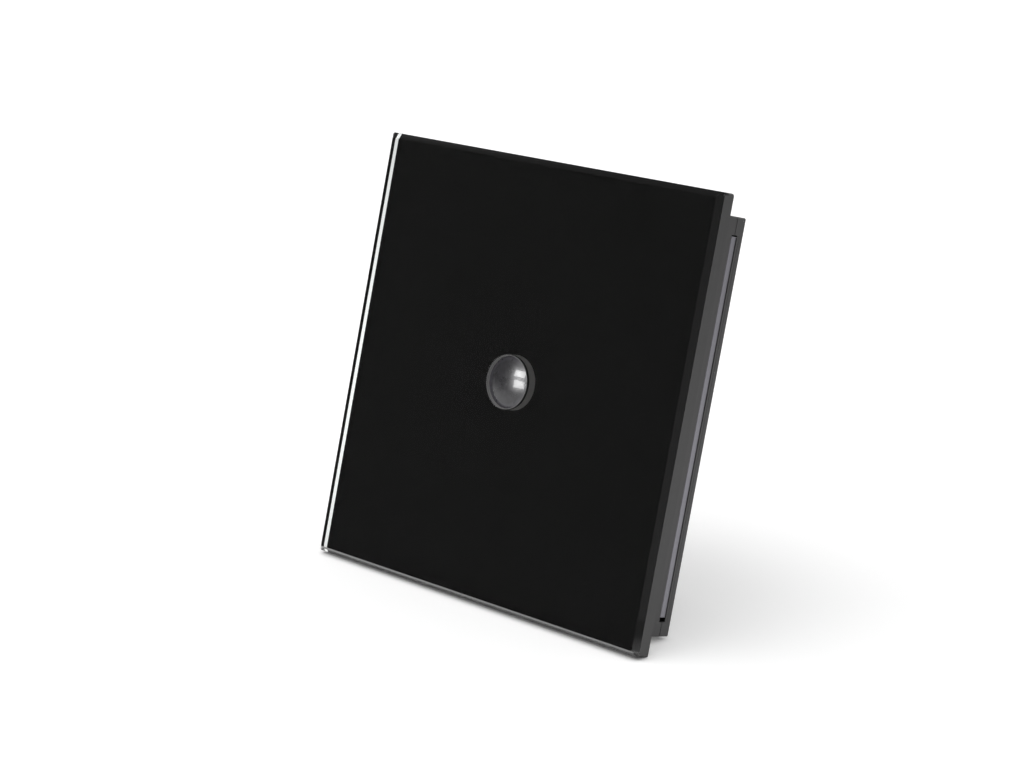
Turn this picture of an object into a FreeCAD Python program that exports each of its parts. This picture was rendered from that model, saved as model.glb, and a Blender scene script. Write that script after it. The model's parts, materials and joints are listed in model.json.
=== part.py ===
import FreeCAD, Part
import math
import os
import re
import Sketcher

# Wall switch with a passive infrared motion sensor behind a square glass panel.
# Millimetres. X to the right, Y into the wall, Z up, seen from the room.
# The origin is the centre of the lens axis on the wall's plane, so the room side has negative Y.

SIZES = {
    # glass panel and what is bonded to it
    "panel_side": 80.0,
    "panel_thick": 4.0,
    "panel_corner": 0.5,
    "panel_face_corner": 0.2,
    "panel_bevel": 1.0,
    "panel_back_bevel": 0.55,
    "eye_bevel": 0.1,
    "print_thick": 0.1,
    "print_margin": 0.1,
    "pad_thick": 0.4,
    "pad_inset": 1.5,
    "pad_band": 6.0,
    # the two plastic frame shells, which meet on a parting line
    "frame_side": 73.5,
    "frame_corner": 0.3,
    "frame_wall": 1.6,
    "frame_drop": 0.5,
    "front_shell_depth": 5.2,
    "front_shell_plate": 1.4,
    "parting_gap": 0.1,
    "rear_shell_depth": 2.2,
    "rear_shell_floor": 1.2,
    "slot_view": 0.3,
    "slot_behind": 0.35,
    "slot_end": 0.5,
    "slot_low": 0.25,
    "stand_off": 5.0,
    "stand_off_x": 31.0,
    "stand_off_z": 20.0,
    "peg_pad": 5.0,
    "peg_dia": 2.4,
    "peg_head": 0.2,
    "peg_x": 28.0,
    "peg_z": 29.0,
    # stamped steel mounting bridge, whose side tabs stand in the frame's side slots
    "bridge_recess": 0.35,
    "bridge_gap": 0.35,
    "bridge_thick": 1.5,
    "bridge_standoff": 1.3,
    "bridge_tab": 66.7,
    "bridge_corner_cut": 2.5,
    "bridge_lap": 2.0,
    "bridge_opening_cut": 9.0,
    "box_spacing": 60.0,
    "box_slot_width": 4.2,
    "box_slot_length": 7.6,
    "spring_width": 7.0,
    "spring_thick": 0.3,
    "spring_foot": 3.2,
    "spring_rise": 2.4,
    "spring_bulge": 0.6,
    "spring_x": 14.0,
    # cover in front of the bridge
    "cover_lip": 2.0,
    "cover_thick": 1.4,
    "cover_corner": 3.0,
    "cover_round": 0.4,
    "collar_wall": 3.2,
    "collar_gap": 0.5,
    # domed lens
    "lens_dia": 9.4,
    "lens_rise": 0.9,
    "lens_edge_depth": 0.7,
    "lens_wall": 0.7,
    "lens_skirt_wall": 0.9,
    "flange_thick": 0.8,
    "flange_lip": 2.3,
    "lenslet_radius": 4.0,
    "lenslet_proud": 0.25,
    "lenslet_pitch": 1.6,
    # infrared sensor and the sleeve that holds the lens off the board
    "sleeve_wall": 0.9,
    "can_dia": 8.3,
    "can_height": 4.2,
    "can_gap": 0.4,
    "can_wall": 0.25,
    "can_lip": 0.45,
    "can_lip_thick": 0.6,
    "can_round": 0.5,
    "window_width": 4.0,
    "window_height": 3.0,
    "window_thick": 0.4,
    "window_lap": 0.4,
    "header_thick": 1.0,
    "pin_dia": 0.45,
    "pin_circle": 5.08,
    "pin_tail": 0.8,
    # housing behind the bridge
    "housing_width": 42.0,
    "housing_height": 46.0,
    "housing_wall": 1.5,
    "housing_corner": 5.0,
    "housing_round": 1.0,
    "boss_dia": 6.0,
    "boss_inset": 4.0,
    "rib_width": 1.6,
    "rib_height": 1.2,
    "rib_z": 8.0,
    "post_dia": 4.0,
    "post_height": 2.2,
    "post_x": 13.0,
    "post_z": 15.0,
    # screws that clamp cover, bridge and housing together
    "cover_screw_dia": 2.5,
    "cover_screw_head": 4.3,
    "cover_screw_length": 10.0,
    "cross_width": 0.6,
    "cross_length": 2.6,
    "cross_depth": 0.7,
    # circuit boards, which stand apart by the tallest part on the rear one
    "board_thick": 1.2,
    "part_gap": 0.6,
    # adjusters
    "trimmer_side": 5.0,
    "trimmer_height": 2.0,
    "trimmer_x": 11.0,
    "trimmer_z": 14.0,
    "rotor_dia": 3.2,
    "rotor_thick": 1.0,
    "rotor_sunk": 0.6,
    "rotor_slot": 0.6,
    # control chip with a row of legs down each side
    "chip_width": 5.0,
    "chip_height": 4.6,
    "chip_depth": 1.5,
    "chip_lift": 0.2,
    "chip_x": -13.5,
    "chip_z": 6.7,
    "leg_reach": 0.9,
    "leg_width": 0.36,
    "leg_thick": 0.3,
    "leg_pitch": 0.9,
    # pin strip between the boards
    "link_width": 10.0,
    "link_height": 2.5,
    "link_depth": 2.5,
    "link_gap": 0.3,
    "link_z": -6.75,
    "link_pin": 0.64,
    "link_pitch": 2.54,
    # parts on the boards
    "daylight_width": 1.6,
    "daylight_height": 0.8,
    "daylight_depth": 0.7,
    "daylight_corner": 0.1,
    "relay_width": 18.0,
    "relay_height": 10.2,
    "relay_depth": 9.6,
    "relay_corner": 0.6,
    "relay_x": -3.0,
    "relay_margin": 0.7,
    "film_width": 13.0,
    "film_height": 6.0,
    "film_depth": 9.0,
    "film_corner": 0.8,
    "film_x": -8.0,
    "film_margin": 2.2,
    "rectifier_width": 4.9,
    "rectifier_height": 4.0,
    "rectifier_depth": 2.2,
    "rectifier_corner": 0.3,
    "rectifier_x": 3.0,
    "rectifier_z": -7.0,
    "drum_dia": 8.0,
    "drum_length": 9.6,
    "drum_x": 10.0,
    "drum_z": 3.0,
    "bung_dia": 7.4,
    "bung_length": 1.6,
    "varistor_dia": 7.0,
    "varistor_thick": 3.4,
    "varistor_lift": 0.8,
    "varistor_x": 11.7,
    "varistor_z": 14.0,
    "varistor_pitch": 5.0,
    "resistor_dia": 3.4,
    "resistor_length": 9.0,
    "resistor_lift": 0.7,
    "resistor_x": -10.5,
    "resistor_z": -6.0,
    "resistor_pitch": 12.3,
    "lead_dia": 0.7,
    # terminal block with three rising clamps
    "block_height": 10.6,
    "block_gap": 0.8,
    "block_wall": 1.2,
    "block_web": 0.7,
    "partition": 2.0,
    "pole_pitch": 7.6,
    "clamp_side": 0.7,
    "clamp_jaw": 0.8,
    "clamp_nut": 1.6,
    "clamp_length": 5.0,
    "clamp_travel": 2.8,
    "least_wire": 0.6,
    "bar_thick": 0.8,
    "bar_gap": 0.3,
    "wire_mouth": 3.4,
    "screw_dia": 3.0,
    "screw_head": 4.8,
    "screw_head_thick": 2.0,
    "head_recess": 2.6,
    "driver_slot": 0.8,
    "driver_depth": 1.0,
    # clearances
    "board_gap": 0.4,
    "slip_gap": 0.1,
    "loose_gap": 0.2,
    "running_gap": 0.05,
    "wide_gap": 1.0,
}
SAME_LEVEL = 0.001
FOUR_CORNERS = [(side, level) for side in (-1, 1) for level in (-1, 1)]
POLES = {"line": -1, "neutral": 0, "load": 1}
LENSLET_RINGS = {0: 1, 1: 6, 2: 12}
LEGS_A_SIDE = 5
LINK_PINS = 4

doc = FreeCAD.newDocument("MotionSensorSwitch")
sheet = doc.addObject("Spreadsheet::Sheet", "Sizes")
for row, (alias, size) in enumerate(SIZES.items(), start=1):
    sheet.set(f"A{row}", alias)
    sheet.set(f"B{row}", str(size))
    sheet.setAlias(f"B{row}", alias)
doc.recompute()

nodes = []


def bind(text):
    # each size name in the text becomes a reference to its cell
    return re.sub(r"[a-z]+(?:_[a-z]+)+|partition", r"Sizes.\g<0>", text)


def number(text):
    return float(sheet.evalExpression(bind(text)))


def tie(item, **sizes):
    for name, text in sizes.items():
        item.setExpression(name.replace("__", "."), bind(text))


def keep(label, item):
    # a finished sub-part, written out under this name
    item.Label = label
    nodes.append(item)
    return item


# Levels along Y in front of the wall, from the wall towards the room.
REAR_SHELL_FRONT = "(-rear_shell_depth)"
FRONT_SHELL_BACK = f"({REAR_SHELL_FRONT} - parting_gap)"
FRAME_FRONT = f"({FRONT_SHELL_BACK} - front_shell_depth)"
PAD_FRONT = f"({FRAME_FRONT} - pad_thick)"
GLASS_BACK = f"({PAD_FRONT} - print_thick)"
GLASS_FRONT = f"({GLASS_BACK} - panel_thick)"
BRIDGE_BACK = "(-bridge_standoff)"
BRIDGE_FRONT = f"({BRIDGE_BACK} - bridge_thick)"
SLOT_BACK = f"({BRIDGE_BACK} + slot_behind)"
SLOT_FRONT = f"({BRIDGE_FRONT} - slot_view)"
COVER_FRONT = f"({BRIDGE_FRONT} - cover_thick)"
COLLAR_FRONT = f"({PAD_FRONT} + collar_gap)"
FLANGE_FRONT = f"({BRIDGE_FRONT} - flange_thick)"

# Levels along Y inside the module, from the sensor towards the rear.
SENSOR_BOARD_FRONT = f"({BRIDGE_FRONT} + can_gap + can_height)"
SENSOR_BOARD_BACK = f"({SENSOR_BOARD_FRONT} + board_thick)"
TALLEST_PART = "max(relay_depth; film_depth; drum_length)"
POWER_BOARD_FRONT = f"({SENSOR_BOARD_BACK} + part_gap + {TALLEST_PART})"
POWER_BOARD_BACK = f"({POWER_BOARD_FRONT} + board_thick)"
HOUSING_FLOOR = f"({POWER_BOARD_BACK} + post_height)"
HOUSING_BACK = f"({HOUSING_FLOOR} + housing_wall)"
BLOCK_FRONT = f"({SENSOR_BOARD_BACK} + block_gap)"
SCREW_SEAT = f"({HOUSING_BACK} - head_recess)"
CHAMBER_BACK = f"({SCREW_SEAT} - block_web)"
NUT_BACK = f"({CHAMBER_BACK} - loose_gap - clamp_travel)"
NUT_FRONT = f"({NUT_BACK} - clamp_nut)"
BAR_BACK = f"({NUT_FRONT} - loose_gap)"
BAR_FRONT = f"({BAR_BACK} - bar_thick)"
JAW_BACK = f"({BAR_FRONT} - clamp_travel - least_wire)"

# Widths, heights and places that several pieces share.
FRAME_Z = "(-frame_drop)"
FRAME_INSIDE = "(frame_side - 2 * frame_wall)"
BRIDGE_SIDE = f"({FRAME_INSIDE} - 2 * bridge_gap)"
BRIDGE_SPAN = "(frame_side - 2 * bridge_recess)"
SLOT_LENGTH = "(bridge_tab + 2 * slot_end)"
SLOT_Z = f"({FRAME_Z} - slot_low)"
LENS_HOLE = "(lens_dia + 2 * slip_gap)"
EYE_BORE = "(lens_dia + 2 * loose_gap)"
COLLAR_DIA = f"({LENS_HOLE} + 2 * collar_wall)"
FLANGE_DIA = "(lens_dia + 2 * flange_lip)"
SLEEVE_BORE = f"({FLANGE_DIA} - 2 * sleeve_wall)"
CAN_INSIDE = "(can_dia - 2 * can_wall)"
CAN_LIP_DIA = "(can_dia + 2 * can_lip)"
BOSS_X = "(housing_width / 2 - boss_inset)"
BOSS_Z = "(housing_height / 2 - boss_inset)"
INSIDE_WIDTH = "(housing_width - 2 * housing_wall)"
INSIDE_HEIGHT = "(housing_height - 2 * housing_wall)"
BOARD_TOP = f"({INSIDE_HEIGHT} / 2 - board_gap)"
RELAY_Z = f"({BOARD_TOP} - relay_margin - relay_height / 2)"
FILM_Z = f"({RELAY_Z} - (relay_height + film_height) / 2 - film_margin)"
DAYLIGHT_Z = f"(-({CAN_LIP_DIA} + {SLEEVE_BORE}) / 4)"
LINK_X = f"({INSIDE_WIDTH} / 2 - rib_height - link_gap - link_width / 2)"
BLOCK_WIDTH = f"({len(POLES)} * pole_pitch + block_wall)"
BLOCK_BOTTOM = "(-housing_height / 2)"
BLOCK_TOP = f"({BLOCK_BOTTOM} + block_height)"
CHAMBER_WIDTH = "(pole_pitch - partition)"
CHAMBER_BOTTOM = f"({BLOCK_BOTTOM} + block_wall)"
CHAMBER_TOP = f"({BLOCK_TOP} - block_wall)"
CLAMP_Z = f"(({CHAMBER_BOTTOM} + {CHAMBER_TOP}) / 2)"
CLAMP_WIDTH = f"({CHAMBER_WIDTH} - 2 * loose_gap)"
CLAMP_INSIDE = f"({CLAMP_WIDTH} - 2 * clamp_side)"
BAR_WIDTH = f"({CLAMP_INSIDE} - 2 * bar_gap)"


def drawing(part, role, across, up, out):
    # a sketch on one of the body's own origin planes, moved to a point of it and out along its normal
    plane = next(f for f in part.Origin.OriginFeatures if f.Role == role)
    sketch = part.newObject("Sketcher::SketchObject", "Sketch")
    sketch.AttachmentSupport = [(plane, "")]
    sketch.MapMode = "FlatFace"
    tie(
        sketch,
        AttachmentOffset__Base__x=across,
        AttachmentOffset__Base__y=up,
        AttachmentOffset__Base__z=out,
    )
    return sketch


def front_view(part, y, x="0", z="0"):
    return drawing(part, "XZ_Plane", x, z, f"-({y})")


def rule(sketch, kind, *where, size=None):
    # one constraint, bound to the sheet where it has a size
    if size is None:
        sketch.addConstraint(Sketcher.Constraint(kind, *where))
        return
    index = sketch.addConstraint(Sketcher.Constraint(kind, *where, number(size)))
    sketch.setExpression(f"Constraints[{index}]", bind(size))


def line(sketch, start, end):
    return sketch.addGeometry(Part.LineSegment(FreeCAD.Vector(*start, 0), FreeCAD.Vector(*end, 0)))


def arc(sketch, centre, radius, start, end):
    circle = Part.Circle(FreeCAD.Vector(*centre, 0), FreeCAD.Vector(0, 0, 1), radius)
    return sketch.addGeometry(Part.ArcOfCircle(circle, math.radians(start), math.radians(end)))


def circle(sketch, diameter):
    radius = number(diameter) / 2
    ring = sketch.addGeometry(Part.Circle(FreeCAD.Vector(), FreeCAD.Vector(0, 0, 1), radius))
    rule(sketch, "Coincident", ring, 3, -1, 1)
    rule(sketch, "Radius", ring, size=f"({diameter}) / 2")


def rectangle(sketch, width, height):
    right, top = number(width) / 2, number(height) / 2
    corners = [(-right, -top), (right, -top), (right, top), (-right, top)]
    sides = [line(sketch, corners[i], corners[(i + 1) % 4]) for i in range(4)]
    for i in range(4):
        rule(sketch, "Coincident", sides[i], 2, sides[(i + 1) % 4], 1)
        rule(sketch, "Horizontal" if i % 2 == 0 else "Vertical", sides[i])
    rule(sketch, "Symmetric", sides[0], 1, sides[2], 1, -1, 1)
    rule(sketch, "DistanceX", sides[0], 1, sides[0], 2, size=width)
    rule(sketch, "DistanceY", sides[1], 1, sides[1], 2, size=height)


def rounded(sketch, width, height, radius):
    right, top, bend = number(width) / 2, number(height) / 2, number(radius)
    in_x, in_z = right - bend, top - bend
    edges = [
        line(sketch, (-in_x, -top), (in_x, -top)),
        arc(sketch, (in_x, -in_z), bend, -90, 0),
        line(sketch, (right, -in_z), (right, in_z)),
        arc(sketch, (in_x, in_z), bend, 0, 90),
        line(sketch, (in_x, top), (-in_x, top)),
        arc(sketch, (-in_x, in_z), bend, 90, 180),
        line(sketch, (-right, in_z), (-right, -in_z)),
        arc(sketch, (-in_x, -in_z), bend, 180, 270),
    ]
    for i in range(8):
        rule(sketch, "Tangent", edges[i], 2, edges[(i + 1) % 8], 1)
    for i in (0, 4):
        rule(sketch, "Horizontal", edges[i])
        rule(sketch, "Vertical", edges[i + 2])
    for i in (3, 5, 7):
        rule(sketch, "Equal", edges[1], edges[i])
    rule(sketch, "Symmetric", edges[1], 3, edges[5], 3, -1, 1)
    rule(sketch, "Radius", edges[1], size=radius)
    rule(sketch, "DistanceX", edges[6], 1, edges[2], 1, size=width)
    rule(sketch, "DistanceY", edges[0], 1, edges[4], 1, size=height)


def slotted(sketch, length, width, upright):
    # a slot with round ends, along the drawing's second axis where it is upright
    bend = number(width) / 2
    reach = number(length) / 2 - bend
    turn = 90 if upright else 0

    def spot(along, aside):
        return (-aside, along) if upright else (along, aside)

    edges = [
        line(sketch, spot(-reach, -bend), spot(reach, -bend)),
        arc(sketch, spot(reach, 0), bend, turn - 90, turn + 90),
        line(sketch, spot(reach, bend), spot(-reach, bend)),
        arc(sketch, spot(-reach, 0), bend, turn + 90, turn + 270),
    ]
    for i in range(4):
        rule(sketch, "Tangent", edges[i], 2, edges[(i + 1) % 4], 1)
    rule(sketch, "Vertical" if upright else "Horizontal", edges[0])
    rule(sketch, "Equal", edges[1], edges[3])
    rule(sketch, "Symmetric", edges[1], 3, edges[3], 3, -1, 1)
    rule(sketch, "Radius", edges[1], size=f"({width}) / 2")
    span = "DistanceY" if upright else "DistanceX"
    rule(sketch, span, edges[3], 3, edges[1], 3, size=f"({length}) - ({width})")


def eight_sided(sketch, width, height, cut):
    # a rectangle with its corners cut off at 45 degrees
    right, top, off = number(width) / 2, number(height) / 2, number(cut)
    quarter = [(right - off, -top), (right, -top + off), (right, top - off), (right - off, top)]
    corners = quarter + [(-x, -z) for x, z in quarter]
    sides = [line(sketch, corners[i], corners[(i + 1) % 8]) for i in range(8)]
    for i in range(8):
        rule(sketch, "Coincident", sides[i], 2, sides[(i + 1) % 8], 1)
    rule(sketch, "Vertical", sides[1])
    rule(sketch, "Horizontal", sides[3])
    for i in range(4):
        rule(sketch, "Symmetric", sides[i], 1, sides[i + 4], 1, -1, 1)
    rule(sketch, "DistanceX", sides[5], 1, sides[1], 1, size=width)
    rule(sketch, "DistanceY", sides[0], 1, sides[4], 1, size=height)
    rule(sketch, "DistanceX", sides[0], 1, sides[0], 2, size=cut)
    rule(sketch, "DistanceY", sides[0], 1, sides[0], 2, size=cut)
    rule(sketch, "DistanceX", sides[2], 2, sides[2], 1, size=cut)
    rule(sketch, "DistanceY", sides[2], 1, sides[2], 2, size=cut)


def new_body(label):
    return keep(label, doc.addObject("PartDesign::Body", label))


def pad(part, sketch, back, front):
    # adds material from the drawing at the back level towards the room
    feature = part.newObject("PartDesign::Pad", "Pad")
    feature.Profile = sketch
    tie(feature, Length=f"({back}) - ({front})")
    return feature


def pocket(part, sketch, front, back):
    # takes material away from the drawing at the front level towards the wall
    feature = part.newObject("PartDesign::Pocket", "Pocket")
    feature.Profile = sketch
    tie(feature, Length=f"({back}) - ({front})")
    return feature


def slab(part, shape, back, front, *sizes, x="0", z="0"):
    sketch = front_view(part, back, x, z)
    shape(sketch, *sizes)
    return pad(part, sketch, back, front)


def taper(part, shape, back, front, back_sizes, front_sizes):
    # adds a stretch whose outline changes evenly from the back level to the front level
    ends = [front_view(part, back), front_view(part, front)]
    for sketch, sizes in zip(ends, (back_sizes, front_sizes)):
        shape(sketch, *sizes)
    feature = part.newObject("PartDesign::AdditiveLoft", "Taper")
    feature.Profile = ends[0]
    feature.Sections = [ends[1]]
    feature.Ruled = True
    return feature


def hollow(part, shape, front, back, *sizes, x="0", z="0"):
    sketch = front_view(part, front, x, z)
    shape(sketch, *sizes)
    return pocket(part, sketch, front, back)


def edges_on(feature, level, reach=None, at=(0, 0)):
    # the edges that lie at one level, all of them or those within reach of a point
    doc.recompute()
    y = number(level)
    names = []
    for index, edge in enumerate(feature.Shape.Edges, start=1):
        box = edge.BoundBox
        if abs(box.YMin - y) > SAME_LEVEL or abs(box.YMax - y) > SAME_LEVEL:
            continue
        centre = box.Center
        if reach is None or math.hypot(centre.x - at[0], centre.z - at[1]) < number(reach):
            names.append(f"Edge{index}")
    return names


def chamfer(part, feature, names, size):
    bevel = part.newObject("PartDesign::Chamfer", "Chamfer")
    bevel.Base = (feature, names)
    tie(bevel, Size=size)
    return bevel


def fillet(part, feature, names, radius):
    bend = part.newObject("PartDesign::Fillet", "Fillet")
    bend.Base = (feature, names)
    tie(bend, Radius=radius)
    return bend


TO_WALL = FreeCAD.Rotation(FreeCAD.Vector(1, 0, 0), -90)
TO_RIGHT = FreeCAD.Rotation(FreeCAD.Vector(0, 1, 0), 90)


def block(low, high):
    # a box between two corners, each a size expression per axis
    box = doc.addObject("Part::Box", "Block")
    spans = [f"({b}) - ({a})" for a, b in zip(low, high)]
    tie(box, Length=spans[0], Width=spans[1], Height=spans[2])
    tie(box, Placement__Base__x=low[0], Placement__Base__y=low[1], Placement__Base__z=low[2])
    return box


def rod(diameter, front, back, x="0", z="0"):
    # a round bar along Y
    bar = doc.addObject("Part::Cylinder", "Rod")
    bar.Placement = FreeCAD.Placement(FreeCAD.Vector(), TO_WALL)
    tie(bar, Radius=f"({diameter}) / 2", Height=f"({back}) - ({front})")
    tie(bar, Placement__Base__x=x, Placement__Base__y=front, Placement__Base__z=z)
    return bar


def cross_rod(diameter, left, right, y, z):
    # a round bar along X
    bar = doc.addObject("Part::Cylinder", "CrossRod")
    bar.Placement = FreeCAD.Placement(FreeCAD.Vector(), TO_RIGHT)
    tie(bar, Radius=f"({diameter}) / 2", Height=f"({right}) - ({left})")
    tie(bar, Placement__Base__x=left, Placement__Base__y=y, Placement__Base__z=z)
    return bar


def ball(radius, x, y, z):
    # its poles lie along Y
    sphere = doc.addObject("Part::Sphere", "Ball")
    sphere.Placement = FreeCAD.Placement(FreeCAD.Vector(), TO_WALL)
    tie(sphere, Radius=radius)
    tie(sphere, Placement__Base__x=x, Placement__Base__y=y, Placement__Base__z=z)
    return sphere


def joined(shapes):
    union = doc.addObject("Part::MultiFuse", "Joined")
    union.Shapes = shapes
    union.Refine = True
    return union


def shared(shapes):
    common = doc.addObject("Part::MultiCommon", "Shared")
    common.Shapes = shapes
    return common


def cut(base, tools):
    rest = doc.addObject("Part::Cut", "Cut")
    rest.Base = base
    rest.Tool = tools[0] if len(tools) == 1 else joined(tools)
    return rest


def grouped(label, shapes):
    # separate solids that share one name
    group = doc.addObject("Part::Compound", label)
    group.Links = shapes
    return keep(label, group)


def around(x, z, half_width, half_height):
    # the four sides of a rectangle about a point
    left, right = f"({x}) - ({half_width})", f"({x}) + ({half_width})"
    low, high = f"({z}) - ({half_height})", f"({z}) + ({half_height})"
    return left, right, low, high


def glass_panel():
    part = new_body("glass_panel")
    side_front = f"({GLASS_FRONT} + panel_bevel)"
    side_back = f"({GLASS_BACK} - panel_back_bevel)"
    face_side = "(panel_side - 2 * panel_bevel)"
    rear_side = "(panel_side - 2 * panel_back_bevel)"
    outline = ("panel_side", "panel_side", "panel_corner")
    face = (face_side, face_side, "panel_face_corner")
    rear = (rear_side, rear_side, "panel_face_corner")
    slab(part, rounded, side_back, side_front, *outline)
    # bevels ground along the front and rear edges
    taper(part, rounded, side_front, GLASS_FRONT, outline, face)
    taper(part, rounded, GLASS_BACK, side_back, rear, outline)
    eye = hollow(part, circle, GLASS_FRONT, GLASS_BACK, EYE_BORE)
    chamfer(part, eye, edges_on(eye, GLASS_FRONT, EYE_BORE), "eye_bevel")


def back_print():
    part = new_body("back_print")
    side = "panel_side - 2 * (panel_back_bevel + print_margin)"
    slab(part, rectangle, PAD_FRONT, GLASS_BACK, side, side)
    hollow(part, circle, GLASS_BACK, PAD_FRONT, EYE_BORE)


def adhesive_pad():
    part = new_body("adhesive_pad")
    outside = "frame_side - 2 * pad_inset"
    inside = f"{outside} - 2 * pad_band"
    slab(part, rectangle, FRAME_FRONT, PAD_FRONT, outside, outside, z=FRAME_Z)
    hollow(part, rectangle, PAD_FRONT, FRAME_FRONT, inside, inside, z=FRAME_Z)


def side_slots(part, front, back):
    # the long gap in the left and right walls through which the bridge's tabs show
    for side in (-1, 1):
        x = f"{side} * (frame_side - frame_wall) / 2"
        hollow(part, rectangle, front, back, "frame_wall + 2 * slip_gap", SLOT_LENGTH, x=x, z=SLOT_Z)


def panel_frame():
    part = new_body("panel_frame")
    inner = f"({FRAME_FRONT} + front_shell_plate)"
    outside = ("frame_side", "frame_side", "frame_corner")
    slab(part, rounded, FRONT_SHELL_BACK, FRAME_FRONT, *outside, z=FRAME_Z)
    hollow(part, rectangle, inner, FRONT_SHELL_BACK, FRAME_INSIDE, FRAME_INSIDE, z=FRAME_Z)
    hollow(part, circle, FRAME_FRONT, inner, f"{COLLAR_DIA} + 2 * wide_gap")
    side_slots(part, SLOT_FRONT, FRONT_SHELL_BACK)
    for side, level in FOUR_CORNERS:
        # feet that rest on the bridge and keep the glass parallel to the wall
        x, z = f"{side} * stand_off_x", f"{level} * stand_off_z"
        slab(part, circle, BRIDGE_FRONT, inner, "stand_off", x=x, z=z)


def base_frame():
    part = new_body("base_frame")
    floor = "(-rear_shell_floor)"
    slab(part, rounded, "0", REAR_SHELL_FRONT, "frame_side", "frame_side", "frame_corner", z=FRAME_Z)
    hollow(part, rectangle, REAR_SHELL_FRONT, floor, FRAME_INSIDE, FRAME_INSIDE, z=FRAME_Z)
    opening = ("housing_width + 2 * wide_gap", "housing_height + 2 * wide_gap", "housing_corner + wide_gap")
    hollow(part, rounded, floor, "0", *opening)
    side_slots(part, REAR_SHELL_FRONT, SLOT_BACK)
    box_holes(part, floor, "0", "box_slot_length + 2 * wide_gap", "box_slot_width + 2 * wide_gap")
    for side, level in FOUR_CORNERS:
        # pegs that hold the shell on the bridge
        x, z = f"{side} * peg_x", f"{level} * peg_z"
        slab(part, circle, floor, BRIDGE_BACK, "peg_pad", x=x, z=z)
        slab(part, circle, BRIDGE_BACK, f"({BRIDGE_FRONT} - peg_head)", "peg_dia", x=x, z=z)


def box_holes(part, front, back, length, width):
    # slotted holes at the wall box's screw spacing, two level with the lens and two above and below it
    for side in (-1, 1):
        away = f"{side} * box_spacing / 2"
        hollow(part, slotted, front, back, length, width, False, x=away)
        hollow(part, slotted, front, back, length, width, True, z=away)


def steel_bridge():
    part = new_body("steel_bridge")
    opening = ("housing_width - 2 * bridge_lap", "housing_height - 2 * bridge_lap", "bridge_opening_cut")
    plate = (BRIDGE_SIDE, BRIDGE_SIDE, "bridge_corner_cut")
    slab(part, eight_sided, BRIDGE_BACK, BRIDGE_FRONT, *plate, z=FRAME_Z)
    # a straight tab on each side stands in the frame's slot
    slab(part, rectangle, BRIDGE_BACK, BRIDGE_FRONT, BRIDGE_SPAN, "bridge_tab", z=FRAME_Z)
    hollow(part, eight_sided, BRIDGE_FRONT, BRIDGE_BACK, *opening)
    box_holes(part, BRIDGE_FRONT, BRIDGE_BACK, "box_slot_length", "box_slot_width")
    for side, level in FOUR_CORNERS:
        peg = {"x": f"{side} * peg_x", "z": f"{level} * peg_z"}
        boss = {"x": f"{side} * {BOSS_X}", "z": f"{level} * {BOSS_Z}"}
        hollow(part, circle, BRIDGE_FRONT, BRIDGE_BACK, "peg_dia + slip_gap", **peg)
        hollow(part, circle, BRIDGE_FRONT, BRIDGE_BACK, "cover_screw_dia + loose_gap", **boss)


def retaining_springs():
    # leaf springs on the bridge that grip the walls of the panel's frame from inside
    leaves = []
    for side, level in FOUR_CORNERS:
        wall = f"({FRAME_INSIDE} / 2 - ({level}) * frame_drop - running_gap)"
        leaf = f"({wall} - spring_bulge)"
        left, right = f"{side} * spring_x - spring_width / 2", f"{side} * spring_x + spring_width / 2"
        rise_front = f"{BRIDGE_FRONT} - spring_rise"
        spans = [
            (f"{BRIDGE_FRONT} - spring_thick", BRIDGE_FRONT, f"{leaf} - spring_foot", leaf),
            (rise_front, BRIDGE_FRONT, f"{leaf} - spring_thick", leaf),
        ]
        shapes = []
        for front, back, inner, outer in spans:
            low, high = (inner, outer) if level > 0 else (f"-({outer})", f"-({inner})")
            shapes.append(block((left, front, low), (right, back, high)))
        bulge_y = f"{rise_front} + spring_bulge"
        shapes.append(cross_rod("2 * spring_bulge", left, right, bulge_y, f"({level}) * {leaf}"))
        leaves.append(joined(shapes))
    grouped("retaining_springs", leaves)


def front_cover():
    part = new_body("front_cover")
    size = ("housing_width + 2 * cover_lip", "housing_height + 2 * cover_lip", "cover_corner")
    plate = slab(part, rounded, BRIDGE_FRONT, COVER_FRONT, *size)
    fillet(part, plate, edges_on(plate, COVER_FRONT), "cover_round")
    slab(part, circle, COVER_FRONT, COLLAR_FRONT, COLLAR_DIA)
    hollow(part, circle, COLLAR_FRONT, BRIDGE_FRONT, LENS_HOLE)
    hollow(part, circle, FLANGE_FRONT, BRIDGE_FRONT, f"{FLANGE_DIA} + 2 * loose_gap")
    for side in (-1, 1):
        # a screwdriver reaches the adjusters through these
        x = f"{side} * trimmer_x"
        hollow(part, circle, COVER_FRONT, BRIDGE_FRONT, "rotor_dia + wide_gap", x=x, z="-trimmer_z")
    for side, level in FOUR_CORNERS:
        x, z = f"{side} * {BOSS_X}", f"{level} * {BOSS_Z}"
        hole = hollow(part, circle, COVER_FRONT, BRIDGE_FRONT, "cover_screw_dia + 2 * slip_gap", x=x, z=z)
        rim = edges_on(hole, COVER_FRONT, "cover_screw_dia", (number(x), number(z)))
        chamfer(part, hole, rim, "(cover_screw_head - cover_screw_dia) / 2")


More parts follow.
